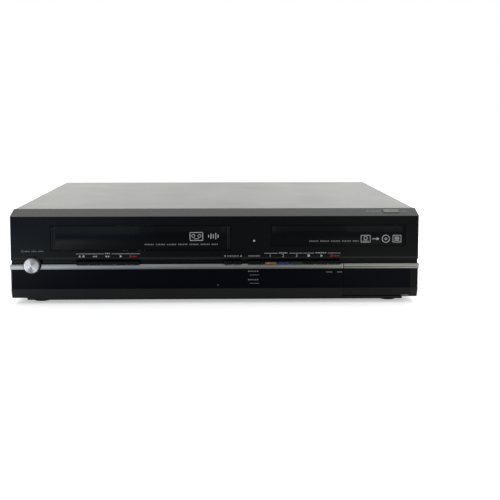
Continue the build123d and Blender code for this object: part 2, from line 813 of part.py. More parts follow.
# Top cover: one folded sheet with bent edges, side vents and a lip over the rear panel
with BuildPart() as top_cover:
    cover_half = cover_width / 2
    with BuildSketch(Plane.XZ.offset(-face_y - bezel_depth)) as fold:
        with BuildLine():
            FilletPolyline(
                (-cover_half, cover_bottom),
                (-cover_half, unit_height),
                (cover_half, unit_height),
                (cover_half, cover_bottom),
                (cover_half - sheet, cover_bottom),
                (cover_half - sheet, unit_height - sheet),
                (sheet - cover_half, unit_height - sheet),
                (sheet - cover_half, cover_bottom),
                radius=[0.0, cover_bend, cover_bend, 0.0, 0.0, cover_bend - sheet,
                        cover_bend - sheet, 0.0],
                close=True,
            )
        make_face()
    extrude(fold.sketch, amount=bezel_depth - body_depth)
    slab((2.0 - cover_half, cover_half - 2.0), (panel_back, body_depth),
         (unit_height - cover_lip, unit_height - 0.5))
    vent_middle = (cover_bottom + unit_height) / 2
    for side in (-1, 1):
        through_x = sorted((side * (cover_half - 3.0), side * (cover_half + 3.0)))
        for count in range(vent_count):
            depth = vent_start + count * vent_pitch
            slab(through_x, (depth - vent_width / 2, depth + vent_width / 2),
                 (vent_middle - vent_height / 2, vent_middle + vent_height / 2), mode=Mode.SUBTRACT)
        for depth in side_screw_depths:
            cross_rod(through_x, depth, cover_bottom + side_screw_rise, screw_radius + 0.05,
                      mode=Mode.SUBTRACT)
    for spot_x in rear_screw_xs:
        deep_rod(spot_x, (panel_front - 2.0, body_depth + 2.0), unit_height - cover_lip / 2 - 0.5,
                 screw_radius + 0.05, mode=Mode.SUBTRACT)
top_cover.part.label = "top_cover"
export_step(top_cover.part, "parts/top_cover.step")

# Cover screws: pan heads with plain shanks
with BuildPart() as cover_screws:
    for side in (-1, 1):
        for depth in side_screw_depths:
            head_x = sorted((side * cover_half, side * (cover_half + screw_head_height)))
            shank_x = sorted((side * cover_half, side * (pan_width / 2 - 3.0)))
            cross_rod(head_x, depth, cover_bottom + side_screw_rise, screw_head_radius)
            cross_rod(shank_x, depth, cover_bottom + side_screw_rise, screw_radius)
    for spot_x in rear_screw_xs:
        screw_z = unit_height - cover_lip / 2 - 0.5
        deep_rod(spot_x, (body_depth, body_depth + screw_head_height), screw_z, screw_head_radius)
        deep_rod(spot_x, (panel_front - 3.0, body_depth), screw_z, screw_radius)
cover_screws.part.label = "cover_screws"
export_step(cover_screws.part, "parts/cover_screws.step")

# Rear panel with a cut-out for each socket and for the fan
scart_zs = [board_top + 14.0 + count * scart_pitch for count in range(2)]
av_xs = [av_x + (count - (av_columns - 1) / 2) * av_pitch for count in range(av_columns)]
av_zs = [board_top + 13.0 + count * av_pitch * 1.1 for count in range(av_rows)]
hdmi_z = board_top + hdmi_height / 2 + 1.0
aerial_zs = [board_top + tuner_height / 2 + side * aerial_pitch / 2 for side in (-1, 1)]
with BuildPart() as rear_panel:
    panel_half = cover_width / 2 - sheet - 0.6
    panel_rows = (pan_bottom, unit_height - sheet - 0.5)
    slab((-panel_half, panel_half), (panel_front, panel_back), panel_rows)
    cut_depth = (panel_front - 1.0, panel_back + 1.0)
    slab((inlet_x - 11.6, inlet_x + 11.6), cut_depth, (inlet_z - 6.6, inlet_z + 6.6),
         mode=Mode.SUBTRACT)
    deep_rod(fan_x, cut_depth, fan_z, fan_bore, mode=Mode.SUBTRACT)
    for socket_z in scart_zs:
        slab((scart_x - scart_width / 2 - 0.1, scart_x + scart_width / 2 + 0.1), cut_depth,
             (socket_z - scart_height / 2 - 0.1, socket_z + scart_height / 2 + 0.1),
             mode=Mode.SUBTRACT)
    for spot_x in av_xs:
        for spot_z in av_zs:
            deep_rod(spot_x, cut_depth, spot_z, jack_radius + 0.4, mode=Mode.SUBTRACT)
    slab((hdmi_x - hdmi_width / 2 - 0.1, hdmi_x + hdmi_width / 2 + 0.1), cut_depth,
         (hdmi_z - hdmi_height / 2 - 0.1, hdmi_z + hdmi_height / 2 + 0.1), mode=Mode.SUBTRACT)
    for spot_z in aerial_zs:
        deep_rod(tuner_x, cut_depth, spot_z, aerial_radius + 0.3, mode=Mode.SUBTRACT)
    for spot_x in rear_screw_xs:
        deep_rod(spot_x, cut_depth, unit_height - cover_lip / 2 - 0.5, screw_radius + 0.05,
                 mode=Mode.SUBTRACT)
rear_panel.part.label = "rear_panel"
export_step(rear_panel.part, "parts/rear_panel.step")

# Two-pin mains inlet
with BuildPart() as mains_inlet:
    slab((inlet_x - 14.0, inlet_x + 14.0), (panel_front - 18.0, panel_front),
         (inlet_z - 9.0, inlet_z + 9.0))
    slab((inlet_x - 11.5, inlet_x + 11.5), (panel_front, panel_back + 2.0),
         (inlet_z - 6.5, inlet_z + 6.5))
    with BuildSketch(Plane.XZ.offset(-face_y - panel_back - 3.0)) as inlet_mouth:
        with Locations((inlet_x, inlet_z)):
            SlotOverall(18.5, 9.6)
    extrude(inlet_mouth.sketch, amount=15.0, mode=Mode.SUBTRACT)
    for side in (-1, 1):
        deep_rod(inlet_x + side * inlet_pin_pitch / 2, (panel_back - 14.0, panel_back + 0.5),
                 inlet_z, 1.2)
mains_inlet.part.label = "mains_inlet"
export_step(mains_inlet.part, "parts/mains_inlet.step")

# Scart sockets: two shrouded housings on one upright board
with BuildPart() as scart_sockets:
    half = scart_width / 2
    slab((scart_x - half - 2.0, scart_x + half + 2.0), (panel_front - 20.0, panel_front - 18.0),
         (board_top, scart_zs[1] + scart_height / 2))
    for socket_z in scart_zs:
        rows = (socket_z - scart_height / 2, socket_z + scart_height / 2)
        slab((scart_x - half, scart_x + half), (panel_front - 18.0, panel_back + 2.0), rows)
        cavity_rows = (rows[0] + 1.6, rows[1] - 1.6)
        cavity_depth = (panel_back + 2.0 - scart_cavity_depth, panel_back + 3.0)
        slab((scart_x - half + 1.8, scart_x + half - 1.8), cavity_depth, cavity_rows,
             mode=Mode.SUBTRACT)
scart_sockets.part.label = "scart_sockets"
export_step(scart_sockets.part, "parts/scart_sockets.step")

# Round audio and video jacks in one block
with BuildPart() as av_jacks:
    slab((av_xs[0] - 7.5, av_xs[-1] + 7.5), (panel_front - 16.0, panel_front),
         (board_top, av_zs[-1] + 7.0))
    for spot_x in av_xs:
        for spot_z in av_zs:
            deep_rod(spot_x, (panel_front, panel_back + av_length), spot_z, jack_radius)
            deep_rod(spot_x, (panel_front - 6.0, panel_back + av_length + 1), spot_z, jack_bore,
                     mode=Mode.SUBTRACT)
av_jacks.part.label = "av_jacks"
export_step(av_jacks.part, "parts/av_jacks.step")

# Digital picture socket: a metal shell with a tongue
with BuildPart() as hdmi_socket:
    slab((hdmi_x - hdmi_width / 2, hdmi_x + hdmi_width / 2), (panel_front - 11.0, panel_back + 0.8),
         (hdmi_z - hdmi_height / 2, hdmi_z + hdmi_height / 2))
    slab((hdmi_x - hdmi_width / 2, hdmi_x + hdmi_width / 2), (panel_front - 11.0, panel_front - 2.0),
         (board_top, hdmi_z))
    slab((hdmi_x - hdmi_width / 2 + 0.6, hdmi_x + hdmi_width / 2 - 0.6),
         (panel_front - 7.0, panel_back + 2.0),
         (hdmi_z - hdmi_height / 2 + 0.6, hdmi_z + hdmi_height / 2 - 0.6), mode=Mode.SUBTRACT)
    slab((hdmi_x - 5.5, hdmi_x + 5.5), (panel_front - 7.5, panel_back - 0.5),
         (hdmi_z - 0.3, hdmi_z + 0.7))
hdmi_socket.part.label = "hdmi_socket"
export_step(hdmi_socket.part, "parts/hdmi_socket.step")

# Tuner can with its two aerial sockets
with BuildPart() as tuner_module:
    slab((tuner_x - tuner_width / 2, tuner_x + tuner_width / 2), (panel_front - 28.0, panel_front),
         (board_top, board_top + tuner_height))
    for spot_z in aerial_zs:
        deep_rod(tuner_x, (panel_front, body_depth + aerial_reach), spot_z, aerial_radius)
        deep_rod(tuner_x, (panel_front - 4.0, body_depth + aerial_reach + 1.0), spot_z, 3.2,
                 mode=Mode.SUBTRACT)
    deep_rod(tuner_x, (panel_front - 5.0, body_depth + aerial_reach - 1.0), aerial_zs[1], 1.15)
tuner_module.part.label = "tuner_module"
export_step(tuner_module.part, "parts/tuner_module.step")

# Fan: square frame with a spider behind the rotor, a bladed rotor, and a guard on the outside
fan_front = panel_front - fan_thickness
with BuildPart() as fan_frame:
    half = fan_size / 2
    slab((fan_x - half, fan_x + half), (fan_front, panel_front), (fan_z - half, fan_z + half))
    deep_rod(fan_x, (fan_front - 1.0, panel_front + 1.0), fan_z, fan_bore, mode=Mode.SUBTRACT)
    for turn in range(4):
        arm_plane = Plane(origin=(fan_x, face_y + fan_front, fan_z), x_dir=(1, 0, 0),
                          z_dir=(0, 1, 0))
        with BuildSketch(arm_plane) as arm:
            with PolarLocations(fan_bore / 2 + 0.5, 1, start_angle=45 + 90 * turn):
                Rectangle(fan_bore + 1.0, 3.0)
        extrude(arm.sketch, amount=2.0)
    deep_rod(fan_x, (fan_front, fan_front + 2.0), fan_z, fan_hub)
    deep_rod(fan_x, (fan_front + 2.0, fan_front + 10.0), fan_z, 1.5)
fan_frame.part.label = "fan_frame"
export_step(fan_frame.part, "parts/fan_frame.step")

with BuildPart() as fan_rotor:
    deep_rod(fan_x, (fan_front + 2.5, fan_front + 13.0), fan_z, fan_hub)
    blade_middle = face_y + fan_front + 7.7
    blade_length = fan_bore - 1.2 - fan_hub + 1.0
    blade_angles = [count * 360 / fan_blades for count in range(fan_blades)]
    for blade_angle in blade_angles:
        reach = fan_hub - 1.0 + blade_length / 2
        blade_plane = Plane(
            origin=(fan_x + reach * cos(radians(blade_angle)), blade_middle,
                    fan_z + reach * sin(radians(blade_angle))),
            x_dir=(cos(radians(blade_angle)), 0, sin(radians(blade_angle))),
            z_dir=(0.6 * sin(radians(blade_angle)), 0.8, -0.6 * cos(radians(blade_angle))),
        )
        with BuildSketch(blade_plane) as blade:
            Rectangle(blade_length, 12.0)
        extrude(blade.sketch, amount=0.6, both=True)
    deep_rod(fan_x, (fan_front, fan_front + 10.5), fan_z, 1.5 + running_gap, mode=Mode.SUBTRACT)
fan_rotor.part.label = "fan_rotor"
export_step(fan_rotor.part, "parts/fan_rotor.step")

with BuildPart() as fan_guard:
    guard_depth = (panel_back, panel_back + wire)
    for count in range(fan_guard_rings):
        ring_outer = fan_bore + 2.0 - count * 9.0
        deep_rod(fan_x, guard_depth, fan_z, ring_outer)
        deep_rod(fan_x, (panel_back - 1.0, panel_back + wire + 1.0), fan_z, ring_outer - wire * 1.2,
                 mode=Mode.SUBTRACT)
    for turn in range(2):
        guard_plane = Plane(origin=(fan_x, face_y + panel_back, fan_z), x_dir=(1, 0, 0),
                            z_dir=(0, 1, 0))
        with BuildSketch(guard_plane) as bar:
            Rectangle(2 * fan_bore + 2.0, wire, rotation=45 + 90 * turn)
        extrude(bar.sketch, amount=wire)
fan_guard.part.label = "fan_guard"
export_step(fan_guard.part, "parts/fan_guard.step")

# Main board: an L of board with chips, a finned heat sink, capacitors and plugs
heat_sink_x = board_left + 0.42 * board_width
heat_sink_depth = (supply_front + 17.0, supply_front + 53.0)
with BuildPart() as main_board:
    slab((board_left, board_right), (supply_front, panel_front - 1.0), (board_bottom, board_top))
    slab((board_left + 0.32 * board_width, board_right), (board_front, supply_front),
         (board_bottom, board_top))
    slab((heat_sink_x, heat_sink_x + 36.0), heat_sink_depth, (board_top, board_top + 3.0))
    for count in range(9):
        fin_x = heat_sink_x + 0.5 + count * 4.25
        slab((fin_x, fin_x + 1.0), heat_sink_depth, (board_top + 3.0, board_top + 16.0))
    for share, chip_depth, chip_size in ((0.66, supply_front + 25.0, 22.0),
                                         (0.82, board_front + 25.0, 18.0),
                                         (0.22, supply_front + 30.0, 16.0),
                                         (0.092, supply_front + 55.0, 12.0)):
        chip_x = board_left + share * board_width
        slab((chip_x, chip_x + chip_size), (chip_depth, chip_depth + chip_size),
             (board_top, board_top + 1.6))
    for share, can_depth in ((0.38, board_front + 25.0), (0.444, board_front + 25.0),
                             (0.94, supply_front + 35.0), (0.3, supply_front + 55.0)):
        post(board_left + share * board_width, can_depth, (board_top, board_top + 12.0), 5.0)
    plug_x = board_left + 0.5 * board_width
    slab((plug_x, plug_x + 42.0), (board_front + 4.0, board_front + 10.0),
         (board_top, board_top + 8.0))
    slab((board_left + 7.0, board_left + 37.0), (supply_front + 3.0, supply_front + 9.0),
         (board_top, board_top + 7.0))
main_board.part.label = "main_board"
export_step(main_board.part, "parts/main_board.step")

# Power board with its capacitors and heat sink, and the transformer on it
with BuildPart() as power_board:
    slab((supply_left, supply_right), (supply_front, supply_back), (board_bottom, board_top))
    post(supply_left + 76.0, supply_front + 22.0, (board_top, board_top + 32.0), 12.0)
    for count in range(4):
        post(supply_right - 12.0, supply_front + 18.0 + count * 15.0, (board_top, board_top + 20.0),
             5.0)
    slab((supply_right - 42.0, supply_right - 38.0), (supply_front + 10.0, supply_back - 10.0),
         (board_top, board_top + 26.0))
    slab((supply_left + 8.0, supply_left + 24.0), (supply_front + 6.0, supply_front + 12.0),
         (board_top, board_top + 9.0))
power_board.part.label = "power_board"
export_step(power_board.part, "parts/power_board.step")

with BuildPart() as power_transformer:
    half = transformer_size / 2
    core_z = (board_top, board_top + transformer_height)
    slab((transformer_x - half, transformer_x + half),
         (transformer_depth - half * 0.55, transformer_depth + half * 0.55), core_z)
    slab((transformer_x - half * 0.6, transformer_x + half * 0.6),
         (transformer_depth - half * 0.95, transformer_depth + half * 0.95),
         (core_z[0] + 4.0, core_z[1] - 4.0))
power_transformer.part.label = "power_transformer"
export_step(power_transformer.part, "parts/power_transformer.step")

# Hard disk on four low posts under the disc drive
disk_bottom = pan_top + disk_lift
with BuildPart() as hard_drive:
    slab((tray_x - disk_width / 2, tray_x + disk_width / 2), (disk_front, disk_front + disk_length),
         (disk_bottom, disk_bottom + disk_height - 3.0))
    slab((tray_x - disk_width / 2 + 5.0, tray_x + disk_width / 2 - 12.0),
         (disk_front + 4.0, disk_front + disk_length - 4.0),
         (disk_bottom + disk_height - 3.0, disk_bottom + disk_height))
hard_drive.part.label = "hard_drive"
export_step(hard_drive.part, "parts/hard_drive.step")

# Disc drive frame: side walls with ledges for the tray, cross walls, legs and the gear's post
traverse_bottom = drive_bottom + traverse_rise
traverse_top = traverse_bottom + traverse_thickness
traverse_axis_z = traverse_bottom + traverse_thickness / 2
frame_top = tray_top + bridge_rise
ledge_top = tray_bottom - 0.5
gear_x = tray_x - tray_width / 2 + 15.0 + gear_radius
gear_bottom = tray_bottom - rack_height - 2.5
gear_top = tray_bottom - 0.6
with BuildPart() as drive_frame:
    for side in (-1, 1):
        wall_x = sorted((tray_x + side * drive_half, tray_x + side * (drive_half + drive_wall)))
        slab(wall_x, (drive_front, drive_back), (drive_bottom, frame_top))
        shelf_x = sorted((tray_x + side * drive_half, tray_x + side * (drive_half - ledge_width)))
        slab(shelf_x, (drive_front, drive_back), (ledge_top - 2.0, ledge_top))
        leg_x = sorted((tray_x + side * (drive_half + drive_wall),
                        tray_x + side * (drive_half + drive_wall + drive_leg)))
        for depth in (drive_front + 4.0, drive_back - 18.0):
            slab(leg_x, (depth, depth + 12.0), (pan_top, frame_top - 8.0))
    outer_half = drive_half + drive_wall
    slab((tray_x - outer_half, tray_x + outer_half), (drive_front, drive_front + 2.5),
         (drive_bottom, gear_bottom - 1.0))
    slab((tray_x - outer_half, tray_x + outer_half), (drive_back - 2.5, drive_back),
         (drive_bottom, frame_top))
    slab((tray_x - outer_half, tray_x + outer_half), (drive_front, gear_depth + 6.0),
         (gear_bottom - 4.0, gear_bottom - 1.0))
    post(gear_x, gear_depth, (gear_bottom - 1.0, gear_top - 0.4), 2.0)
    for side in (-1, 1):
        hole_x = sorted((tray_x + side * (drive_half - 1.0), tray_x + side * (outer_half + 1.0)))
        cross_rod(hole_x, traverse_hinge_depth, traverse_axis_z, spindle_radius + running_gap,
                  mode=Mode.SUBTRACT)
drive_frame.part.label = "drive_frame"
export_step(drive_frame.part, "parts/drive_frame.step")

# Bridge over the tray, and the clamper that hangs loose in its hole
with BuildPart() as clamp_bridge:
    slab((tray_x - outer_half, tray_x + outer_half),
         (spindle_depth - bridge_length / 2, spindle_depth + bridge_length / 2),
         (frame_top, frame_top + bridge_thickness))
    post(tray_x, spindle_depth, (frame_top - 1.0, frame_top + bridge_thickness + 1.0),
         clamper_neck + slide_gap + 0.4, mode=Mode.SUBTRACT)
clamp_bridge.part.label = "clamp_bridge"
export_step(clamp_bridge.part, "parts/clamp_bridge.step")

with BuildPart() as disc_clamper:
    post(tray_x, spindle_depth, (tray_top + 2.6, tray_top + 5.4), clamper_radius)
    post(tray_x, spindle_depth, (tray_top + 5.4, frame_top + bridge_thickness + 0.4), clamper_neck)
    post(tray_x, spindle_depth,
         (frame_top + bridge_thickness + 0.4, frame_top + bridge_thickness + 1.8),
         clamper_neck + 4.0)
disc_clamper.part.label = "disc_clamper"
export_step(disc_clamper.part, "parts/disc_clamper.step")

# Traverse plate: spindle motor, sled window, two rails, and pins at its rear edge
sled_front = spindle_depth + sled_start
rail_front = spindle_depth + motor_radius + 3.0
rail_back = sled_front + sled_length + sled_travel + 4.0
with BuildPart() as traverse_plate:
    slab((tray_x - traverse_half, tray_x + traverse_half),
         (traverse_front, traverse_hinge_depth + 2.0), (traverse_bottom, traverse_top))
    slab((tray_x - rail_half + 5.0, tray_x + rail_half - 5.0), (rail_front, rail_back),
         (traverse_bottom - 1.0, traverse_top + 1.0), mode=Mode.SUBTRACT)
    post(tray_x, spindle_depth, (traverse_bottom - 5.0, traverse_top + 5.0), motor_radius)
    post(tray_x, spindle_depth, (traverse_bottom - 3.0, traverse_top + 6.0),
         spindle_radius + running_gap, mode=Mode.SUBTRACT)
    rail_z = traverse_top + sled_height / 2 + 0.4
    for side in (-1, 1):
        rail_x = tray_x + side * rail_half
        deep_rod(rail_x, (rail_front, rail_back), rail_z, rail_radius)
        for depth in (rail_front, rail_back - 2.0):
            slab((rail_x - 3.0, rail_x + 3.0), (depth, depth + 2.0), (traverse_top, rail_z + 2.5))
        pin_x = sorted((tray_x + side * (traverse_half - 1.0),
                        tray_x + side * (drive_half + drive_wall)))
        cross_rod(pin_x, traverse_hinge_depth, traverse_axis_z, spindle_radius)
traverse_plate.part.label = "traverse_plate"
export_step(traverse_plate.part, "parts/traverse_plate.step")

# Turntable with a centring cone and its shaft
with BuildPart() as turntable:
    post(tray_x, spindle_depth, (traverse_bottom - 2.0, tray_top - 5.0), spindle_radius)
    post(tray_x, spindle_depth, (tray_top - 5.0, tray_top - 2.6), turntable_radius)
    with BuildSketch(Plane.XY.offset(tray_top - 2.6)) as cone_foot:
        with Locations((tray_x, face_y + spindle_depth)):
            Circle(7.4)
    extrude(cone_foot.sketch, amount=2.4, taper=20)
turntable.part.label = "turntable"
export_step(turntable.part, "parts/turntable.step")

# Pickup sled on the two rails, with its lens
with BuildPart() as pickup_sled:
    sled_z = (traverse_top + 0.4, traverse_top + 0.4 + sled_height)
    sled_depth = (sled_front, sled_front + sled_length)
    slab((tray_x - rail_half - 3.0, tray_x + rail_half + 3.0), sled_depth, sled_z)
    post(tray_x, sled_front + sled_length / 2, (sled_z[1], tray_top - 5.5), 4.0)
    for side in (-1, 1):
        deep_rod(tray_x + side * rail_half, (sled_front - 1.0, sled_front + sled_length + 1.0),
                 rail_z, rail_radius + running_gap, mode=Mode.SUBTRACT)
pickup_sled.part.label = "pickup_sled"
export_step(pickup_sled.part, "parts/pickup_sled.step")

# Disc tray: recess for the disc, a window open to the rear for the spindle, and a rack below
rack_pitch = 2 * pi * gear_radius / gear_teeth
rack_x = gear_x - gear_radius
with BuildPart() as disc_tray:
    tray_front_depth = door_inset + tray_cap_thickness
    slab((tray_x - tray_width / 2, tray_x + tray_width / 2), (tray_front_depth, tray_back_depth),
         (tray_bottom, tray_top))
    post(tray_x, spindle_depth, (tray_top - disc_recess, tray_top + 1.0), disc_radius,
         mode=Mode.SUBTRACT)
    post(tray_x, spindle_depth, (tray_top - disc_recess * 1.6, tray_top + 1.0), disc_radius * 0.68,
         mode=Mode.SUBTRACT)
    window_half = tray_window_width / 2
    window_front = spindle_depth - turntable_radius - 3.0
    slab((tray_x - window_half, tray_x + window_half), (window_front, tray_back_depth + 1.0),
         (tray_bottom - 1.0, tray_top + 1.0), mode=Mode.SUBTRACT)
    slab((rack_x - 4.0, rack_x - tooth_root), (tray_front_depth + 6.0, tray_back_depth - 2.0),
         (tray_bottom - rack_height, tray_bottom))
    rack_length = tray_back_depth - tray_front_depth - 14.0
    rack_teeth = int(rack_length / rack_pitch)
    with BuildSketch(Plane.XY.offset(tray_bottom - rack_height)) as teeth:
        for count in range(rack_teeth):
            first_gap = gear_depth + rack_pitch / 2 - 5 * rack_pitch
            tooth_depth = first_gap + count * rack_pitch
            with Locations((rack_x, face_y + tooth_depth)):
                Polygon(
                    (-tooth_root - 0.4, -tooth_half * 1.7),
                    (tooth_addendum, -tooth_half * 0.6),
                    (tooth_addendum, tooth_half * 0.6),
                    (-tooth_root - 0.4, tooth_half * 1.7),
                    align=None,
                )
    extrude(teeth.sketch, amount=rack_height)
disc_tray.part.label = "disc_tray"
export_step(disc_tray.part, "parts/disc_tray.step")

# Front of the tray
with BuildPart() as tray_front:
    cap_rows = (tray_cap_bottom, tray_cap_top)
    slab((tray_x - tray_cap_width / 2, tray_x + tray_cap_width / 2),
         (door_inset, door_inset + tray_cap_thickness), cap_rows)
tray_front.part.label = "tray_front"
export_step(tray_front.part, "parts/tray_front.step")

# Pinion that drives the rack, one tooth pointing at each gap of the rack
with BuildPart() as tray_gear:
    post(gear_x, gear_depth, (gear_bottom, gear_top), gear_radius - tooth_root)
    with BuildSketch(Plane.XY.offset(gear_bottom)) as gear_outline:
        with Locations((gear_x, face_y + gear_depth)):
            with PolarLocations(gear_radius, gear_teeth, start_angle=180):
                Polygon(
                    (-tooth_root - 0.5, -tooth_half * 1.7),
                    (tooth_addendum, -tooth_half * 0.6),
                    (tooth_addendum, tooth_half * 0.6),
                    (-tooth_root - 0.5, tooth_half * 1.7),
                    align=None,
                )
    extrude(gear_outline.sketch, amount=gear_top - gear_bottom)
    post(gear_x, gear_depth, (gear_bottom - 1.0, gear_top + 1.0), 2.0 + running_gap,
         mode=Mode.SUBTRACT)
tray_gear.part.label = "tray_gear"
export_step(tray_gear.part, "parts/tray_gear.step")

# Tape deck plate with side walls, which have a straight slot each for the carriage's pins
pinch_x = door_x + pinch_pivot_x
with BuildPart() as deck_plate:
    slab((door_x - deck_half, door_x + deck_half), (deck_front, deck_back), (deck_under, deck_top))
    wall_top = basket_bottom + basket_height + 1.0
    for side in (-1, 1):
        wall_x = sorted((door_x + side * deck_half, door_x + side * (deck_half - deck_wall)))
        slab(wall_x, (wall_front, wall_back), (deck_top, wall_top))
        cut_x = (wall_x[0] - 1.0, wall_x[1] + 1.0)
        guide_reach = slider_pin_pitch / 2 + slot_half
        slab(cut_x, (basket_pin_depth - guide_reach, basket_pin_depth + carriage_in + guide_reach),
             (guide_pin_z - slot_half, guide_pin_z + slot_half), mode=Mode.SUBTRACT)
        post(door_x + side * reel_half, reel_depth, (deck_under - 1.0, deck_top + 1.0),
             2.0 + running_gap, mode=Mode.SUBTRACT)
    post(door_x + capstan_x, capstan_depth, (deck_under - 1.0, deck_top + 1.0),
         capstan_radius + running_gap, mode=Mode.SUBTRACT)
    post(pinch_x, pinch_pivot_depth, (deck_top, deck_top + 15.0), 2.0)
    # fixed tape guides and the sound head
    for guide_x, guide_back in ((-44.0, -13.0), (-60.0, -29.0), (38.0, 11.0)):
        post(door_x + guide_x, drum_depth + guide_back, (deck_top, deck_top + 24.0), 2.5)
    slab((door_x + capstan_x - 20.0, door_x + capstan_x - 10.0),
         (capstan_depth - 5.0, capstan_depth + 3.0), (deck_top, deck_top + 22.0))
deck_plate.part.label = "deck_plate"
export_step(deck_plate.part, "parts/deck_plate.step")

# Carriage: two side plates joined by a bar, on pins that run in the walls' straight slots
with BuildPart() as carriage_slider:
    plate_depth = (basket_pin_depth - slider_length / 2, basket_pin_depth + slider_length / 2)
    bar_bottom = basket_bottom + basket_height + 2.0
    plate_bottom = basket_pin_z - carriage_down - slot_half - 2.0
    for side in (-1, 1):
        plate_x = sorted((door_x + side * slider_outer, door_x + side * (slider_outer - slider_plate)))
        slab(plate_x, plate_depth, (plate_bottom, bar_bottom + slider_bar))
        slab((plate_x[0] - 1.0, plate_x[1] + 1.0),
             (basket_pin_depth - slot_half, basket_pin_depth + slot_half),
             (basket_pin_z - carriage_down - slot_half, basket_pin_z + slot_half),
             mode=Mode.SUBTRACT)
        for pin_side in (-1, 1):
            pin_x = sorted((door_x + side * (slider_outer - 1.0), door_x + side * (deck_half - 0.4)))
            cross_rod(pin_x, basket_pin_depth + pin_side * slider_pin_pitch / 2, guide_pin_z,
                      slot_pin_radius)
    slab((door_x - slider_outer, door_x + slider_outer),
         (basket_pin_depth + 2.0, plate_depth[1]), (bar_bottom, bar_bottom + slider_bar))
carriage_slider.part.label = "carriage_slider"
export_step(carriage_slider.part, "parts/carriage_slider.step")

# Cassette basket: side walls with ledges below, a top plate, stops, and a pin at each side
with BuildPart() as cassette_basket:
    basket_back = basket_front + basket_length
    basket_top = basket_bottom + basket_height
    for side in (-1, 1):
        wall_x = sorted((door_x + side * basket_half, door_x + side * (basket_half - basket_wall)))
        slab(wall_x, (basket_front, basket_back), (basket_bottom, basket_top))
        ledge_x = sorted((door_x + side * basket_half, door_x + side * (basket_half - ledge_in)))
        slab(ledge_x, (basket_front, basket_back), (basket_bottom, basket_bottom + 1.2))
        stop_x = sorted((door_x + side * basket_half, door_x + side * (basket_half - 16.0)))
        slab(stop_x, (basket_back - 1.2, basket_back), (basket_bottom, basket_bottom + 10.0))
        pin_x = sorted((door_x + side * (basket_half - 0.5), door_x + side * (slider_outer + 0.6)))
        cross_rod(pin_x, basket_pin_depth, basket_pin_z, slot_pin_radius)
    slab((door_x - basket_half, door_x + basket_half), (basket_front + 14.0, basket_back),
         (basket_top - 1.2, basket_top))
cassette_basket.part.label = "cassette_basket"
export_step(cassette_basket.part, "parts/cassette_basket.step")

# Reels: a table with a three-splined hub and a shaft through the deck plate
for reel_name, side in (("supply_reel", -1), ("take_up_reel", 1)):
    reel_x = door_x + side * reel_half
    with BuildPart() as reel:
        post(reel_x, reel_depth, (deck_under - 3.0, deck_top + 1.0), 2.0)
        post(reel_x, reel_depth, (deck_top + 1.0, deck_top + 5.0), reel_radius)
        post(reel_x, reel_depth, (deck_top + 5.0, deck_top + 18.0), reel_hub)
        with BuildSketch(Plane.XY.offset(deck_top + 5.0)) as splines:
            with Locations((reel_x, face_y + reel_depth)):
                with PolarLocations(reel_hub + 0.6, 3):
                    Rectangle(2.4, 1.6)
        extrude(splines.sketch, amount=11.0)
    reel.part.label = reel_name
    export_step(reel.part, "parts/" + reel_name + ".step")

# Head drum: a fixed lower half and a turning upper half with two head windows
drum_middle = deck_top + drum_lower
with BuildPart() as drum_base:
    post(door_x, drum_depth, (deck_top, drum_middle), drum_radius)
    post(door_x, drum_depth, (deck_top - 0.0, drum_middle + 1.0), 3.0 + running_gap,
         mode=Mode.SUBTRACT)
drum_base.part.label = "drum_base"
export_step(drum_base.part, "parts/drum_base.step")

with BuildPart() as drum_rotor:
    post(door_x, drum_depth, (deck_top + 2.0, drum_middle + drum_split + 1.0), 3.0)
    post(door_x, drum_depth, (drum_middle + drum_split, drum_middle + drum_upper), drum_radius)
    post(door_x, drum_depth, (drum_middle + drum_upper, drum_middle + drum_upper + 3.0),
         drum_radius * 0.6)
    for side in (-1, 1):
        notch_x = sorted((door_x + side * (drum_radius - 2.0), door_x + side * (drum_radius + 1.0)))
        slab(notch_x, (drum_depth - 3.0, drum_depth + 3.0),
             (drum_middle, drum_middle + drum_split + 3.0), mode=Mode.SUBTRACT)
drum_rotor.part.label = "drum_rotor"
export_step(drum_rotor.part, "parts/drum_rotor.step")

# Capstan with its flywheel under the deck plate
with BuildPart() as capstan:
    post(door_x + capstan_x, capstan_depth, (deck_under - 6.0, deck_top + 26.0), capstan_radius)
    post(door_x + capstan_x, capstan_depth, (deck_under - 9.0, deck_under - 3.0), flywheel_radius)
capstan.part.label = "capstan"
export_step(capstan.part, "parts/capstan.step")

# Pinch arm: a bushed lever on the deck's post, with the rubber roller at its end
roller_x = pinch_x + pinch_arm_length * cos(radians(pinch_rest_angle))
roller_depth = pinch_pivot_depth + pinch_arm_length * sin(radians(pinch_rest_angle))
with BuildPart() as pinch_arm:
    arm_z = (deck_top + 6.0, deck_top + 9.0)
    with BuildSketch(Plane.XY.offset(arm_z[0])) as lever:
        with Locations(((pinch_x + roller_x) / 2, face_y + (pinch_pivot_depth + roller_depth) / 2)):
            SlotOverall(pinch_arm_length + 8.0, 8.0, rotation=pinch_rest_angle)
    extrude(lever.sketch, amount=arm_z[1] - arm_z[0])
    post(pinch_x, pinch_pivot_depth, (deck_top + 1.0, deck_top + 14.0), 4.0)
    post(roller_x, roller_depth, (arm_z[1], arm_z[1] + 13.0), pinch_roller)
    post(pinch_x, pinch_pivot_depth, (deck_top, deck_top + 16.0), 2.0 + running_gap,
         mode=Mode.SUBTRACT)
pinch_arm.part.label = "pinch_arm"
export_step(pinch_arm.part, "parts/pinch_arm.step")
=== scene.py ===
from math import atan2, pi, radians

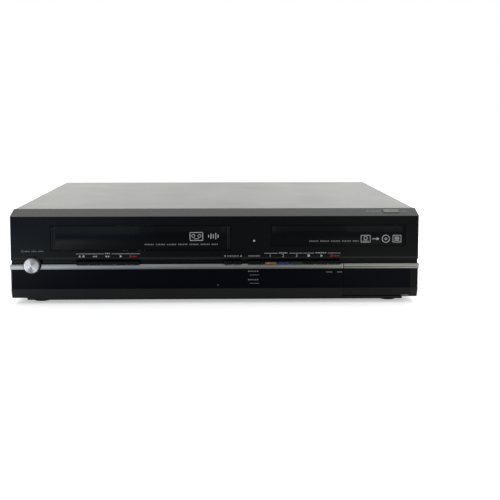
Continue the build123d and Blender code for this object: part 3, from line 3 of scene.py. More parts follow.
import bpy
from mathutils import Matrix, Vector


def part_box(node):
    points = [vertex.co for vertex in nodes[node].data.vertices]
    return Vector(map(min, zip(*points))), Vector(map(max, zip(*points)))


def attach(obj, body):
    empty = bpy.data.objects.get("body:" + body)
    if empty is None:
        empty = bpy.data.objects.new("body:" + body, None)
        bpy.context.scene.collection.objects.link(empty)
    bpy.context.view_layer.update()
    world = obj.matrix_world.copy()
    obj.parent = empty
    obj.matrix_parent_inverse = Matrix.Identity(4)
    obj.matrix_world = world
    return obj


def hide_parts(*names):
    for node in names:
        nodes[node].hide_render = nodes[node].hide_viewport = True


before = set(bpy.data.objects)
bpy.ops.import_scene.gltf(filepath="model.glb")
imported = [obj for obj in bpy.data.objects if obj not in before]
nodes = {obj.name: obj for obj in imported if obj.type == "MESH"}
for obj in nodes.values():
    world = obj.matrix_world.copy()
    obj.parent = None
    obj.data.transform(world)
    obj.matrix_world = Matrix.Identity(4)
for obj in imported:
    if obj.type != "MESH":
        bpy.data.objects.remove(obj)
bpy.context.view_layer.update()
bpy.ops.object.select_all(action="DESELECT")
print("frame in:", len(nodes), "nodes")

# The front faces -Y. Depths below are millimetres behind the face plane, heights are millimetres
# above the floor, x is to the viewer's right.
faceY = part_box("front_bezel")[0].y * 1000


# ---- small helpers for modelling ----

def metres(x, depth, z):
    return x / 1000, (faceY + depth) / 1000, z / 1000


def middle(span):
    return (span[0] + span[1]) / 2


def letGo():
    if bpy.context.object and bpy.context.object.mode != "OBJECT":
        bpy.ops.object.mode_set(mode="OBJECT")
    bpy.ops.object.select_all(action="DESELECT")


def hold(*pieces):
    letGo()
    for piece in pieces:
        piece.select_set(True)
    bpy.context.view_layer.objects.active = pieces[0]


def settle(piece):
    # origin back to the middle of the floor, place and turn into the mesh
    hold(piece)
    bpy.ops.object.transform_apply(location=True, rotation=True, scale=True)
    return piece


def modify(piece, kind, **settings):
    hold(piece)
    modifier = piece.modifiers.new(kind.title(), kind)
    for key, value in settings.items():
        setattr(modifier, key, value)
    bpy.ops.object.modifier_apply(modifier=modifier.name)


def addBlock(name, x, depth, z, bevel=0, steps=2):
    # a cube of 1 mm, drawn out between two values of x, depth and height
    letGo()
    bpy.ops.mesh.primitive_cube_add(size=0.001, location=metres(middle(x), middle(depth), middle(z)))
    block = bpy.context.object
    block.name = block.data.name = name
    block.scale = (x[1] - x[0], depth[1] - depth[0], z[1] - z[0])
    settle(block)
    if bevel:
        modify(block, "BEVEL", width=bevel / 1000, segments=steps, limit_method="ANGLE",
               angle_limit=radians(35))
    return block


def addRod(name, x, depth, z, radius, sides, turn):
    # a bar from front to back, round or with a few sides
    letGo()
    bpy.ops.mesh.primitive_cylinder_add(vertices=sides, radius=radius / 1000,
                                        depth=(depth[1] - depth[0]) / 1000,
                                        location=metres(x, middle(depth), z),
                                        rotation=(pi / 2, turn, 0))
    rod = bpy.context.object
    rod.name = rod.data.name = name
    return settle(rod)


def addLathe(name, profile, steps):
    # turns a profile of (radius, height) points round Z, standing on the origin
    letGo()
    bpy.ops.mesh.primitive_plane_add(size=0.001)
    lathe = bpy.context.object
    lathe.name = lathe.data.name = name
    bpy.ops.object.mode_set(mode="EDIT")
    bpy.ops.mesh.select_all(action="SELECT")
    bpy.ops.mesh.merge(type="CENTER")
    start = profile[0]
    bpy.ops.transform.translate(value=(start[0] / 1000, 0, start[1] / 1000))
    for last, point in zip(profile, profile[1:]):
        step = ((point[0] - last[0]) / 1000, 0, (point[1] - last[1]) / 1000)
        bpy.ops.mesh.extrude_vertices_move(TRANSFORM_OT_translate={"value": step})
    bpy.ops.mesh.select_all(action="SELECT")
    bpy.ops.mesh.spin(steps=steps, angle=2 * pi, center=(0, 0, 0), axis=(0, 0, 1))
    bpy.ops.mesh.select_all(action="SELECT")
    bpy.ops.mesh.remove_doubles(threshold=0.000002)
    bpy.ops.mesh.normals_make_consistent(inside=False)
    bpy.ops.object.mode_set(mode="OBJECT")
    return lathe


def placeLathe(lathe, x, depth, z, facing="front"):
    # lays the lathe's axis towards one side and moves it to its place
    lathe.rotation_euler = {"front": (pi / 2, 0, 0), "back": (-pi / 2, 0, 0),
                            "left": (0, -pi / 2, 0), "right": (0, pi / 2, 0)}[facing]
    lathe.location = metres(x, depth, z)
    return settle(lathe)


def copyOf(piece, name):
    twin = piece.copy()
    twin.data = piece.data.copy()
    twin.name = twin.data.name = name
    bpy.context.scene.collection.objects.link(twin)
    return twin


def joined(name, pieces):
    hold(*pieces)
    bpy.ops.object.join()
    whole = bpy.context.object
    whole.name = whole.data.name = name
    return whole


def cutFrom(piece, cutters):
    for cutter in cutters:
        modify(piece, "BOOLEAN", object=cutter, operation="DIFFERENCE", solver="EXACT")
        bpy.data.objects.remove(cutter)


def dress(piece, finish, body, smooth=30):
    hold(piece)
    bpy.ops.object.shade_smooth_by_angle(angle=radians(smooth))
    piece.data.materials.clear()
    piece.data.materials.append(finishes[finish])
    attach(piece, body)
    return piece


# ---- small helpers for finishes ----

def newMaterial(name):
    material = bpy.data.materials.new(name)
    material.use_nodes = True
    tree = material.node_tree
    return material, tree, tree.nodes["Principled BSDF"]


def addNode(tree, kind, **settings):
    node = tree.nodes.new("ShaderNode" + kind)
    for key, value in settings.items():
        setattr(node, key, value)
    return node


def feed(tree, node, values):
    # an input gets a link when its value is another node's output, or else a fixed value
    for name, value in values.items():
        if isinstance(value, bpy.types.NodeSocket):
            tree.links.new(value, node.inputs[name])
        else:
            node.inputs[name].default_value = value
    return node


def patternPlace(tree, stretch=(1, 1, 1), centre=(0, 0, 0)):
    spot = addNode(tree, "TexCoord")
    mapping = feed(tree, addNode(tree, "Mapping"), {
        "Vector": spot.outputs["Object"], "Scale": stretch,
        "Location": [-c * s for c, s in zip(centre, stretch)]})
    return mapping.outputs["Vector"]


def axesOf(tree, vector):
    return feed(tree, addNode(tree, "SeparateXYZ"), {"Vector": vector}).outputs


def addNoise(tree, vector, scale, detail=3.0, rough=0.55):
    noise = feed(tree, addNode(tree, "TexNoise"), {
        "Vector": vector, "Scale": scale, "Detail": detail, "Roughness": rough})
    return noise.outputs["Fac"]


def addCells(tree, vector, scale):
    return feed(tree, addNode(tree, "TexVoronoi"), {"Vector": vector, "Scale": scale}).outputs


def addRamp(tree, source, stops, interpolation="LINEAR"):
    ramp = addNode(tree, "ValToRGB")
    ramp.color_ramp.interpolation = interpolation
    elements = ramp.color_ramp.elements
    while len(elements) < len(stops):
        elements.new(0.5)
    for element, (position, color) in zip(elements, stops):
        element.position = position
        element.color = (*color, 1)
    tree.links.new(source, ramp.inputs["Fac"])
    return ramp.outputs["Color"]


def addTones(tree, source, look):
    # from the look's dark tone to its light one, over its spread of the source
    tones = [tuple(c * look[share] for c in look["color"]) for share in ("dark", "light")]
    return addRamp(tree, source, list(zip(look["spread"], tones)))


def addRange(tree, source, low, high, start=0.3, end=0.7, **settings):
    # start to end becomes low to high, and noise lies mostly between 0.3 and 0.7
    span = feed(tree, addNode(tree, "MapRange", **settings), {
        "Value": source, "From Min": start, "From Max": end, "To Min": low, "To Max": high})
    return span.outputs["Result"]


def addMath(tree, operation, *values):
    node = addNode(tree, "Math", operation=operation)
    return feed(tree, node, dict(enumerate(values))).outputs["Value"]


def addMix(tree, factor, first, second, kind="RGBA", blend="MIX"):
    mix = addNode(tree, "Mix", data_type=kind, blend_type=blend)
    return feed(tree, mix, {"Factor": factor, "A": first, "B": second}).outputs["Result"]


def addBump(tree, shader, height, look):
    bump = feed(tree, addNode(tree, "Bump"), {
        "Height": height, "Strength": look["bump"], "Distance": look["height"]})
    tree.links.new(bump.outputs["Normal"], shader.inputs["Normal"])


# ---- finishes: each kind has a dictionary of what a look leaves unsaid ----

moulded = {"dark": 0.8, "light": 1.15, "spread": (0.35, 0.65), "wander": 3.1, "grain": 2600,
           "bump": 0.25, "height": 0.00004, "ior": 1.45, "metal": 0.0}


def mouldedFinish(name, look):
    # plastic, paint or rubber: two close tones in soft patches, a gloss that wanders, a fine grain
    look = {**moulded, **look}
    material, tree, shader = newMaterial(name)
    vector = patternPlace(tree)
    patch = addNoise(tree, vector, look["patch"])
    wander = addNoise(tree, vector, look["patch"] * look["wander"], detail=4.0)
    feed(tree, shader, {"Base Color": addTones(tree, patch, look),
                        "Roughness": addRange(tree, wander, *look["gloss"]),
                        "IOR": look["ior"], "Metallic": look["metal"]})
    addBump(tree, shader, addNoise(tree, vector, look["grain"], detail=2.0), look)
    return material


zoned = {"top": 100, "patch": 12, "dark": 0.94, "light": 1.06, "spread": (0.35, 0.65),
         "color": (1.0, 1.0, 1.0), "wander": 0.05, "grain": 5200, "bump": 0.3, "height": 0.00004,
         "ior": 1.3}


def zonedFinish(name, look):
    # one moulding with a gloss or a matt surface and its own tone by height, where a lighter tone is
    # painted reflection: each zone starts at a height in mm
    look = {**zoned, **look}
    material, tree, shader = newMaterial(name)
    vector = patternPlace(tree)
    rise = addRange(tree, axesOf(tree, vector)["Z"], 0.0, 1.0, 0.0, look["top"] / 1000)
    patch = addNoise(tree, vector, look["patch"])
    base = addRamp(tree, rise, [(z / look["top"], color) for z, color, gloss in look["zones"]],
                   "CONSTANT")
    gloss = addRamp(tree, rise, [(z / look["top"], (gloss,) * 3) for z, color, gloss in look["zones"]],
                    "CONSTANT")
    feed(tree, shader, {
        "Base Color": addMix(tree, 1.0, base, addTones(tree, patch, look), blend="MULTIPLY"),
        "Roughness": addMath(tree, "MULTIPLY_ADD", patch, look["wander"], gloss),
        "IOR": look["ior"]})
    grain = addNoise(tree, vector, look["grain"], detail=2.0)
    addBump(tree, shader, addMath(tree, "MULTIPLY", grain, gloss), look)
    return material


drawn = {"dark": 0.85, "light": 1.1, "spread": (0.3, 0.7), "lines": 60, "bump": 0.15,
         "height": 0.00003, "ior": 1.5, "metal": 1.0, "black": (0.012, 0.013, 0.015, 1)}


def drawnFinish(name, look):
    # metal with fine lines along one direction, and a few darker marks
    look = {**drawn, **look}
    material, tree, shader = newMaterial(name)
    vector = patternPlace(tree, look["stretch"])
    lines = addNoise(tree, vector, look["lines"], detail=5.0, rough=0.7)
    base = addTones(tree, lines, look)
    if "paintedShadeBelow" in look:
        # the lower edge is darkened to black up to a height in mm: painted shade of the strip's rounded
        # underside
        height = axesOf(tree, patternPlace(tree))["Z"]
        above = addMath(tree, "GREATER_THAN", height, look["paintedShadeBelow"] / 1000)
        base = addMix(tree, above, look["black"], base)
    feed(tree, shader, {"Base Color": base, "Roughness": addRange(tree, lines, *look["gloss"]),
                        "Metallic": look["metal"], "IOR": look["ior"]})
    addBump(tree, shader, lines, look)
    return material


plated = {"dark": 0.82, "light": 1.08, "spread": (0.0, 1.0), "flakes": 160, "gloss": (0.32, 0.48),
          "grain": 900, "bump": 0.12, "height": 0.00003, "metal": 0.9}


def platedFinish(name, look):
    # zinc plate: overlapping flakes of slightly different grey
    look = {**plated, **look}
    material, tree, shader = newMaterial(name)
    vector = patternPlace(tree)
    cells = addCells(tree, vector, look["flakes"])
    flake = feed(tree, addNode(tree, "SeparateColor"), {"Color": cells["Color"]}).outputs
    feed(tree, shader, {"Base Color": addTones(tree, flake["Red"], look),
                        "Roughness": addRange(tree, flake["Green"], *look["gloss"]),
                        "Metallic": look["metal"]})
    addBump(tree, shader, addNoise(tree, vector, look["grain"]), look)
    return material


board = {"dark": 0.82, "tracks": 260, "gap": 0.035, "pads": 210, "pad": (0.6, 0.6, 0.56, 1),
         "padReach": (0.1, 0.13), "gloss": (0.45, 0.3), "bump": 0.3, "height": 0.00005}


def boardFinish(name, look):
    # circuit board: solder mask over narrow tracks, with small bright pads
    look = {**board, **look}
    material, tree, shader = newMaterial(name)
    vector = patternPlace(tree)
    tracks = feed(tree, addNode(tree, "TexBrick"), {
        "Vector": vector, "Scale": look["tracks"], "Mortar Size": look["gap"],
        "Color1": (*look["color"], 1), "Color2": (*[c * look["dark"] for c in look["color"]], 1),
        "Mortar": (*look["track"], 1)}).outputs
    cells = addCells(tree, vector, look["pads"])
    spots = addRamp(tree, cells["Distance"], list(zip(look["padReach"], ((1, 1, 1), (0, 0, 0)))))
    feed(tree, shader, {"Base Color": addMix(tree, spots, tracks["Color"], look["pad"]),
                        "Roughness": addRange(tree, spots, *look["gloss"])})
    addBump(tree, shader, tracks["Fac"], look)
    return material


def turnedFinish(name, look):
    # a faced disc: fine rings round its middle, and light and dark sectors by angle painted into its
    # colour, as painted highlights of the sheen that such rings show
    material, tree, shader = newMaterial(name)
    vector = patternPlace(tree, centre=look["centre"])
    flat = feed(tree, addNode(tree, "VectorMath", operation="MULTIPLY"), {0: vector, 1: look["plane"]})
    reach = feed(tree, addNode(tree, "VectorMath", operation="LENGTH"), {0: flat.outputs["Vector"]})
    rings = addMath(tree, "MULTIPLY", reach.outputs["Value"], look["rings"])
    axes = axesOf(tree, vector)
    angle = addMath(tree, "ARCTAN2", axes["Z"], axes["X"])
    # the colour is lighter and darker by angle round the middle: painted highlights
    sheenSectors = [(at, tuple(c * share for c in look["color"])) for at, share in look["sheenSectors"]]
    fine = addNoise(tree, vector, look["fine"])
    feed(tree, shader, {"Base Color": addRamp(tree, addRange(tree, angle, 0.0, 1.0, -pi, pi), sheenSectors),
                        "Roughness": addRange(tree, fine, *look["gloss"]),
                        "Metallic": look["metal"]})
    addBump(tree, shader, addMath(tree, "SINE", rings), look)
    return material


def windingFinish(name, look):
    # copper wire and varnished tape
    material, tree, shader = newMaterial(name)
    wave = feed(tree, addNode(tree, "TexWave", bands_direction="Z"), {
        "Vector": patternPlace(tree), "Scale": look["lines"]})
    feed(tree, shader, {"Base Color": addTones(tree, wave.outputs["Fac"], look),
                        "Roughness": look["gloss"]})
    addBump(tree, shader, wave.outputs["Fac"], look)
    return material


mouldedLooks = {
    "doorMoulding": {"color": (0.0036, 0.0044, 0.0054), "gloss": (0.07, 0.11), "ior": 1.25,
                     "patch": 9, "grain": 5200, "bump": 0.02},
    "lampLens": {"color": (0.78, 0.76, 0.7), "gloss": (0.1, 0.16), "patch": 300},
    "paintedSteel": {"color": (0.024, 0.024, 0.0235), "gloss": (0.28, 0.31), "ior": 1.5,
                     "patch": 5, "dark": 0.95, "light": 1.05, "grain": 3300, "bump": 0.05},
    "rearPaint": {"color": (0.02, 0.02, 0.0205), "gloss": (0.4, 0.5), "ior": 1.5,
                  "patch": 14, "grain": 2300},
    "footRubber": {"color": (0.016, 0.016, 0.0165), "gloss": (0.65, 0.8),
                   "patch": 60, "grain": 3000, "bump": 0.4},
    "keyBlack": {"color": (0.0034, 0.0036, 0.0042), "gloss": (0.3, 0.4), "ior": 1.3,
                 "patch": 50, "grain": 5200, "bump": 0.15},
    "keySilver": {"color": (0.13, 0.135, 0.13), "gloss": (0.34, 0.42),
                  "patch": 80, "grain": 5200, "bump": 0.15},
    "keyOrange": {"color": (0.36, 0.16, 0.04), "gloss": (0.3, 0.4), "patch": 160},
    "keyBlue": {"color": (0.014, 0.035, 0.19), "gloss": (0.3, 0.4), "patch": 160},
    "keyGreen": {"color": (0.006, 0.05, 0.03), "gloss": (0.3, 0.4), "patch": 160},
    "socketBlack": {"color": (0.018, 0.018, 0.018), "gloss": (0.42, 0.55), "patch": 60,
                    "bump": 0.2},
    "displayGlass": {"color": (0.01, 0.016, 0.016), "gloss": (0.05, 0.09), "patch": 40,
                     "grain": 700, "bump": 0.02},
    "castMetal": {"color": (0.42, 0.42, 0.41), "gloss": (0.42, 0.58), "metal": 1.0,
                  "patch": 70, "grain": 1500, "bump": 0.45, "height": 0.00008},
    "fanPlastic": {"color": (0.014, 0.014, 0.014), "gloss": (0.4, 0.5), "patch": 60},
    "guardPaint": {"color": (0.02, 0.02, 0.02), "gloss": (0.3, 0.4), "patch": 90},
    "drivePlastic": {"color": (0.024, 0.024, 0.025), "gloss": (0.45, 0.6), "patch": 50},
    "trayPlastic": {"color": (0.03, 0.03, 0.031), "gloss": (0.4, 0.5), "patch": 50,
                    "grain": 3200, "bump": 0.3},
    "whitePlastic": {"color": (0.74, 0.73, 0.69), "gloss": (0.35, 0.45), "patch": 60, "dark": 0.93,
                     "light": 1.04},
    "jackYellow": {"color": (0.75, 0.55, 0.04), "gloss": (0.35, 0.45), "patch": 120},
    "jackWhite": {"color": (0.72, 0.71, 0.68), "gloss": (0.35, 0.45), "patch": 120, "dark": 0.93,
                  "light": 1.04},
    "jackRed": {"color": (0.5, 0.025, 0.02), "gloss": (0.35, 0.45), "patch": 120},
    "printWhite": {"color": (0.57, 0.58, 0.59), "gloss": (0.5, 0.6), "patch": 400},
    "printGrey": {"color": (0.3, 0.31, 0.32), "gloss": (0.5, 0.6), "patch": 400},
    "printRed": {"color": (0.36, 0.012, 0.02), "gloss": (0.5, 0.6), "patch": 400},
}
faceTone, faceGloss = (0.0030, 0.0038, 0.0046), 0.2
# the chin and the lip face down: their matt gloss is the moulding's own, and their lighter tones are
# painted reflection of the floor, on the bezel and on the smoked panel's chin alike
chinPaintedReflection, chinGloss, chinTop = (0.026, 0.026, 0.0262), 0.5, 16.6
lipPaintedReflection, lipGloss, lipZ = (0.0275, 0.0283, 0.0300), 0.42, (46.9, 50.3)
panelTone, panelGloss = (0.0024, 0.0034, 0.0068), 0.08
zonedLooks = {
    "blackMoulding": {"zones": [(0.0, chinPaintedReflection, chinGloss), (chinTop, faceTone, faceGloss),
                                (lipZ[0], lipPaintedReflection, lipGloss), (lipZ[1], faceTone, faceGloss)]},
    "smokedPanel": {"ior": 1.17, "zones": [(0.0, chinPaintedReflection, chinGloss),
                                           (chinTop, panelTone, panelGloss)]},
}
drawnLooks = {
    # the silver trim's lower edge is blackened as painted shade
    "silverTrim": {"color": (0.62, 0.625, 0.61), "stretch": (1, 45, 45), "gloss": (0.3, 0.4),
                   "bump": 0.1, "paintedShadeBelow": 37.85},
    "shaftSteel": {"color": (0.55, 0.55, 0.55), "stretch": (30, 30, 1), "gloss": (0.18, 0.3)},
    "jackMetal": {"color": (0.62, 0.6, 0.52), "stretch": (40, 1, 40), "gloss": (0.2, 0.34)},
    "drumMetal": {"color": (0.68, 0.68, 0.67), "stretch": (1, 1, 80), "gloss": (0.14, 0.26)},
    "blackScrew": {"color": (0.07, 0.07, 0.072), "stretch": (20, 20, 20), "gloss": (0.3, 0.42)},
}
platedLooks = {
    "platedSteel": {"color": (0.55, 0.55, 0.52)},
    "chassisSteel": {"color": (0.1, 0.1, 0.1), "gloss": (0.5, 0.6)},
}
boardLooks = {
    "greenBoard": {"color": (0.012, 0.12, 0.04), "track": (0.03, 0.2, 0.06)},
    "brownBoard": {"color": (0.28, 0.15, 0.05), "track": (0.36, 0.22, 0.1)},
}
windingLooks = {
    "transformerCore": {"color": (0.16, 0.1, 0.05), "dark": 0.7, "light": 1.2, "spread": (0.2, 0.8),
                        "lines": 420, "gloss": 0.4, "bump": 0.5, "height": 0.0001},
}
powerSpot = {"x": -191.7, "z": 42.6, "radius": 8.0}
turnedLooks = {
    "turnedMetal": {
        "color": (0.95, 0.96, 0.97), "metal": 0.6, "gloss": (0.26, 0.3), "fine": 700,
        "bump": 0.08, "height": 0.00002, "rings": 26000, "plane": (1, 0, 1),
        "centre": (powerSpot["x"] / 1000, 0, powerSpot["z"] / 1000),
        # bright and dark sectors round the disc: painted highlights
        "sheenSectors": [(0.0, 1.15), (0.08, 1.2), (0.17, 0.5), (0.27, 0.4), (0.37, 1.25),
                    (0.46, 0.75), (0.56, 0.6), (0.66, 0.35), (0.76, 0.5), (0.86, 1.3),
                    (0.93, 1.1), (1.0, 1.15)]},
}
finishes = {}
for makeFinish, looks in ((mouldedFinish, mouldedLooks), (zonedFinish, zonedLooks),
                          (drawnFinish, drawnLooks), (platedFinish, platedLooks),
                          (boardFinish, boardLooks), (windingFinish, windingLooks),
                          (turnedFinish, turnedLooks)):
    for name, look in looks.items():
        finishes[name] = makeFinish(name, look)
print("finishes:", len(finishes))

# which finish each carried-over node wears, where it isn't the keys' black
nodeFinish = {
    "front_bezel": "blackMoulding", "cassette_door": "doorMoulding", "tray_front": "doorMoulding",
    "power_ring": "blackMoulding", "jack_flap": "smokedPanel", "display_window": "smokedPanel",
    "trim_strip": "silverTrim", "power_button": "turnedMetal", "status_lamp": "lampLens",
    "top_cover": "paintedSteel", "bottom_chassis": "chassisSteel", "rear_panel": "rearPaint",
    "feet": "footRubber", "cover_screws": "blackScrew", "front_jacks": "socketBlack",
    "display_module": "displayGlass", "key_board": "brownBoard", "main_board": "greenBoard",
    "power_board": "brownBoard", "power_transformer": "transformerCore",
    "hard_drive": "castMetal", "mains_inlet": "socketBlack", "scart_sockets": "socketBlack",
    "av_jacks": "jackMetal", "hdmi_socket": "jackMetal", "tuner_module": "platedSteel",
    "fan_frame": "fanPlastic", "fan_rotor": "fanPlastic", "fan_guard": "guardPaint",
    "drive_frame": "drivePlastic", "clamp_bridge": "platedSteel", "disc_clamper": "drivePlastic",
    "traverse_plate": "platedSteel", "turntable": "drivePlastic", "pickup_sled": "castMetal",
    "tray_gear": "whitePlastic", "disc_tray": "trayPlastic", "deck_plate": "platedSteel",
    "drum_base": "drumMetal", "drum_rotor": "drumMetal", "capstan": "shaftSteel",
    "pinch_arm": "platedSteel", "supply_reel": "whitePlastic", "take_up_reel": "whitePlastic",
    "carriage_slider": "platedSteel", "cassette_basket": "platedSteel",
    "open_close_key": "keySilver",
}
for nodeName, node in nodes.items():
    node.data.materials.clear()
    node.data.materials.append(finishes[nodeFinish.get(nodeName, "keyBlack")])
print("nodes dressed")


# ---- power button: a faced disc on a stem ----
button = {"proud": 6.0, "back": 2.0, "chamfer": 0.8, "edge": (0.25, 0.35), "stem": 2.5,
          "stemEnd": 8.0, "crown": 0.02, "grooves": 6, "groove": 0.08, "first": 1.1, "pitch": 1.05,
          "half": 0.12}
buttonProfile = [(0.0, button["proud"])]
for count in range(button["grooves"]):
    ring = button["first"] + count * button["pitch"]
    buttonProfile += [(ring, button["proud"] - button["crown"]),
                      (ring + button["half"], button["proud"] - button["groove"]),
                      (ring + button["half"] * 2, button["proud"] - button["crown"])]
rim = powerSpot["radius"]
buttonProfile += [(rim - button["chamfer"], button["proud"] - button["crown"]),
                  (rim - button["edge"][0], button["proud"] - button["edge"][1]),
                  (rim, button["proud"] - button["chamfer"]),
                  (rim, -button["back"]), (button["stem"], -button["back"]),
                  (button["stem"], -button["stemEnd"]), (0.0, -button["stemEnd"])]
buttonFace = placeLathe(addLathe("powerButton", buttonProfile, 96), powerSpot["x"], 0.0, powerSpot["z"])
dress(buttonFace, "turnedMetal", "power_button", 25)
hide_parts("power_button")
print("power button turned")


# ---- cassette door and tray front: raised panes, a band and ribs ----
pane = {"face": 0.3, "proud": 0.25, "sunk": 0.6, "margin": 0.5, "bevel": 0.22}
door = {"x": (-172.3, 15.9), "z": (57.7, 83.9), "leftBand": 4.8, "rightBand": 5.2,
        "band": (4.2, 0.4)}
tray = {"x": (58.7, 200.1), "z": (61.8, 83.8), "leftEdge": 0.5, "rightBand": 2.6}
rib = {"left": (1.6, 3.2, 4.7), "right": (3.0, 1.6), "half": 0.35, "depth": (-0.25, 0.7),
       "margin": 0.9, "bevel": 0.25}


def addPane(name, x, z, body):
    piece = addBlock(name, x, (pane["face"] - pane["proud"], pane["face"] + pane["sunk"]),
                     (z[0] + pane["margin"], z[1] - pane["margin"]), pane["bevel"], 3)
    return dress(piece, "doorMoulding", body)


addPane("doorPane", (door["x"][0] + door["leftBand"], door["x"][1] - door["rightBand"]), door["z"],
        "cassette_door")
addPane("doorBandRight", (door["x"][1] - door["band"][0], door["x"][1] - door["band"][1]), door["z"],
        "cassette_door")
ribPlaces = [door["x"][0] + inset for inset in rib["left"]]
ribPlaces += [door["x"][1] - inset for inset in rib["right"]]
doorRibs = [addBlock("doorRib", (ribX - rib["half"], ribX + rib["half"]), rib["depth"],
                     (door["z"][0] + rib["margin"], door["z"][1] - rib["margin"]), rib["bevel"], 3)
            for ribX in ribPlaces]
dress(joined("doorRibs", doorRibs), "socketBlack", "cassette_door")
addPane("trayPane", (tray["x"][0] + tray["leftEdge"], tray["x"][1] - tray["rightBand"]), tray["z"],
        "disc_tray")
print("door and tray panes on")


# ---- coloured inserts of the three select keys ----
insert = {"z": (43.35, 45.3), "depth": (-4.75, -4.2), "half": 5.7, "bevel": 0.25}
for keyName, keyX, keyColor, keySlot in (
        ("select_key_tape", 58.0, "keyOrange", "key_orange"),
        ("select_key_hard_disk", 71.4, "keyBlue", "key_blue"),
        ("select_key_disc", 84.8, "keyGreen", "key_green")):
    strip = addBlock(keyName + "Insert", (keyX - insert["half"], keyX + insert["half"]),
                     insert["depth"], insert["z"], insert["bevel"], 3)
    dress(strip, keyColor, keyName)
print("key inserts in")


# ---- printed marks: thin raised ink ----
ink = {"thick": 0.05, "sunk": 0.05, "line": 0.4,
       "sides": {"triangle": 3, "square": 4, "dot": 20},
       "turns": {"up": 0.0, "down": pi, "right": pi / 2, "left": -pi / 2, "level": pi / 4}}


def inkDepth(face):
    return face - ink["thick"], face + ink["sunk"]


def inkBar(x, z, face, height=ink["line"]):
    return addBlock("ink", x, inkDepth(face), (z - height / 2, z + height / 2))


def inkShape(kind, x, z, size, face, turn="up"):
    return addRod("ink", x, inkDepth(face), z, size, ink["sides"][kind], ink["turns"][turn])


def inkNumber(text, x, z, size, face):
    letGo()
    bpy.ops.object.text_add(rotation=(pi / 2, 0, 0))
    number = bpy.context.object
    number.data.body = text
    number.data.size = size / 1000
    number.data.align_x = "CENTER"
    number.data.align_y = "CENTER"
    number.data.extrude = ink["thick"] / 1000
    bpy.ops.object.convert(target="MESH")
    number = bpy.context.object
    number.location = metres(x, face, z)
    return settle(number)


def inkDashes(x, z, face, dashes, height, share=0.6, group=6):
    # a line of short dashes in groups, as small print reads from a step away
    pitch = (x[1] - x[0]) / dashes
    return [inkBar((x[0] + count * pitch, x[0] + (count + share) * pitch), z, face, height)
            for count in range(dashes) if (count + 1) % group]


def inkFrame(x, z, face, line):
    # an open rectangle of four bars
    bars = [inkBar(x, level, face, line) for level in z]
    return bars + [addBlock("ink", (side - line / 2, side + line / 2), inkDepth(face), z)
                   for side in x]


def inkRing(x, z, radius, face, line):
    inner, thick = radius - line, ink["thick"] + ink["sunk"]
    ring = addLathe("ink", [(inner, 0.0), (inner, thick), (radius, thick), (radius, 0.0),
                            (inner, 0.0)], 28)
    return placeLathe(ring, x, face + ink["sunk"], z)


# over the keys: a row of signs, with lines and words above it
symbolZ = 51.4
overKeys = {"z": 54.2, "lines": ((-146.3, -117.0), (-108.6, -79.1), (51.4, 65.3), (77.7, 90.8),
                                 (91.9, 104.2), (118.7, 131.6)),
            "words": ((-115.6, -110.0), (66.8, 76.4), (105.4, 117.6)), "rise": 0.3, "pitch": 1.9,
            "height": 1.0, "share": 0.6, "group": 9}
# kind, x, height over the row, size, turn
signs = (("triangle", -142.1, 0.0, 1.6, "up"), ("square", -138.1, 0.1, 1.4, "level"),
         ("triangle", -127.3, 0.0, 1.35, "left"), ("triangle", -124.9, 0.0, 1.35, "left"),
         ("triangle", -114.4, 0.0, 1.35, "right"), ("triangle", -112.0, 0.0, 1.35, "right"),
         ("triangle", -99.4, 0.0, 1.7, "right"), ("square", 98.2, 0.1, 1.7, "level"),
         ("triangle", 111.6, 0.0, 1.7, "right"), ("triangle", 10.2, 0.0, 1.1, "down"),
         ("triangle", 27.0, 0.0, 1.1, "up"))
numbers = {"x": (57.6, 71.2, 85.4), "size": 4.4}
white = [inkBar(barX, overKeys["z"], 0.0) for barX in overKeys["lines"]]
for wordX in overKeys["words"]:
    white += inkDashes(wordX, overKeys["z"] + overKeys["rise"], 0.0,
                       round((wordX[1] - wordX[0]) / overKeys["pitch"]), overKeys["height"],
                       overKeys["share"], overKeys["group"])
white += [inkShape(kind, x, symbolZ + rise, size, 0.0, turn) for kind, x, rise, size, turn in signs]
white += [inkNumber(str(count + 1), keyX, symbolZ, numbers["size"], 0.0)
          for count, keyX in enumerate(numbers["x"])]
dress(joined("frontPrint", white), "printWhite", "root")

# beside the rocker and over the power button, as x, z, dashes, height, share, group
smallLines = (((12.6, 24.9), symbolZ, 9, 1.3, 0.6, 12), ((34.6, 47.2), symbolZ, 8, 1.4, 0.6, 12),
              ((-199.4, -179.4), 57.0, 14, 1.0, 0.55, 5))
powerSign = {"x": -201.8, "z": 57.0, "radius": 1.2, "line": 0.35}
grey = [inkRing(powerSign["x"], powerSign["z"], powerSign["radius"], 0.0, powerSign["line"])]
for x, z, *rest in smallLines:
    grey += inkDashes(x, z, 0.0, *rest)
dress(joined("smallPrint", grey), "printGrey", "root")

record = {"dots": ((-88.9, 1.3), (122.4, 1.4)), "words": ((-86.8, -82.5), (124.6, 130.8)),
          "height": 1.1}
red = [inkShape("dot", x, symbolZ, size, 0.0) for x, size in record["dots"]]
red += [inkBar(x, symbolZ, 0.0, record["height"]) for x in record["words"]]
dress(joined("redPrint", red), "printRed", "root")
print("front print on")

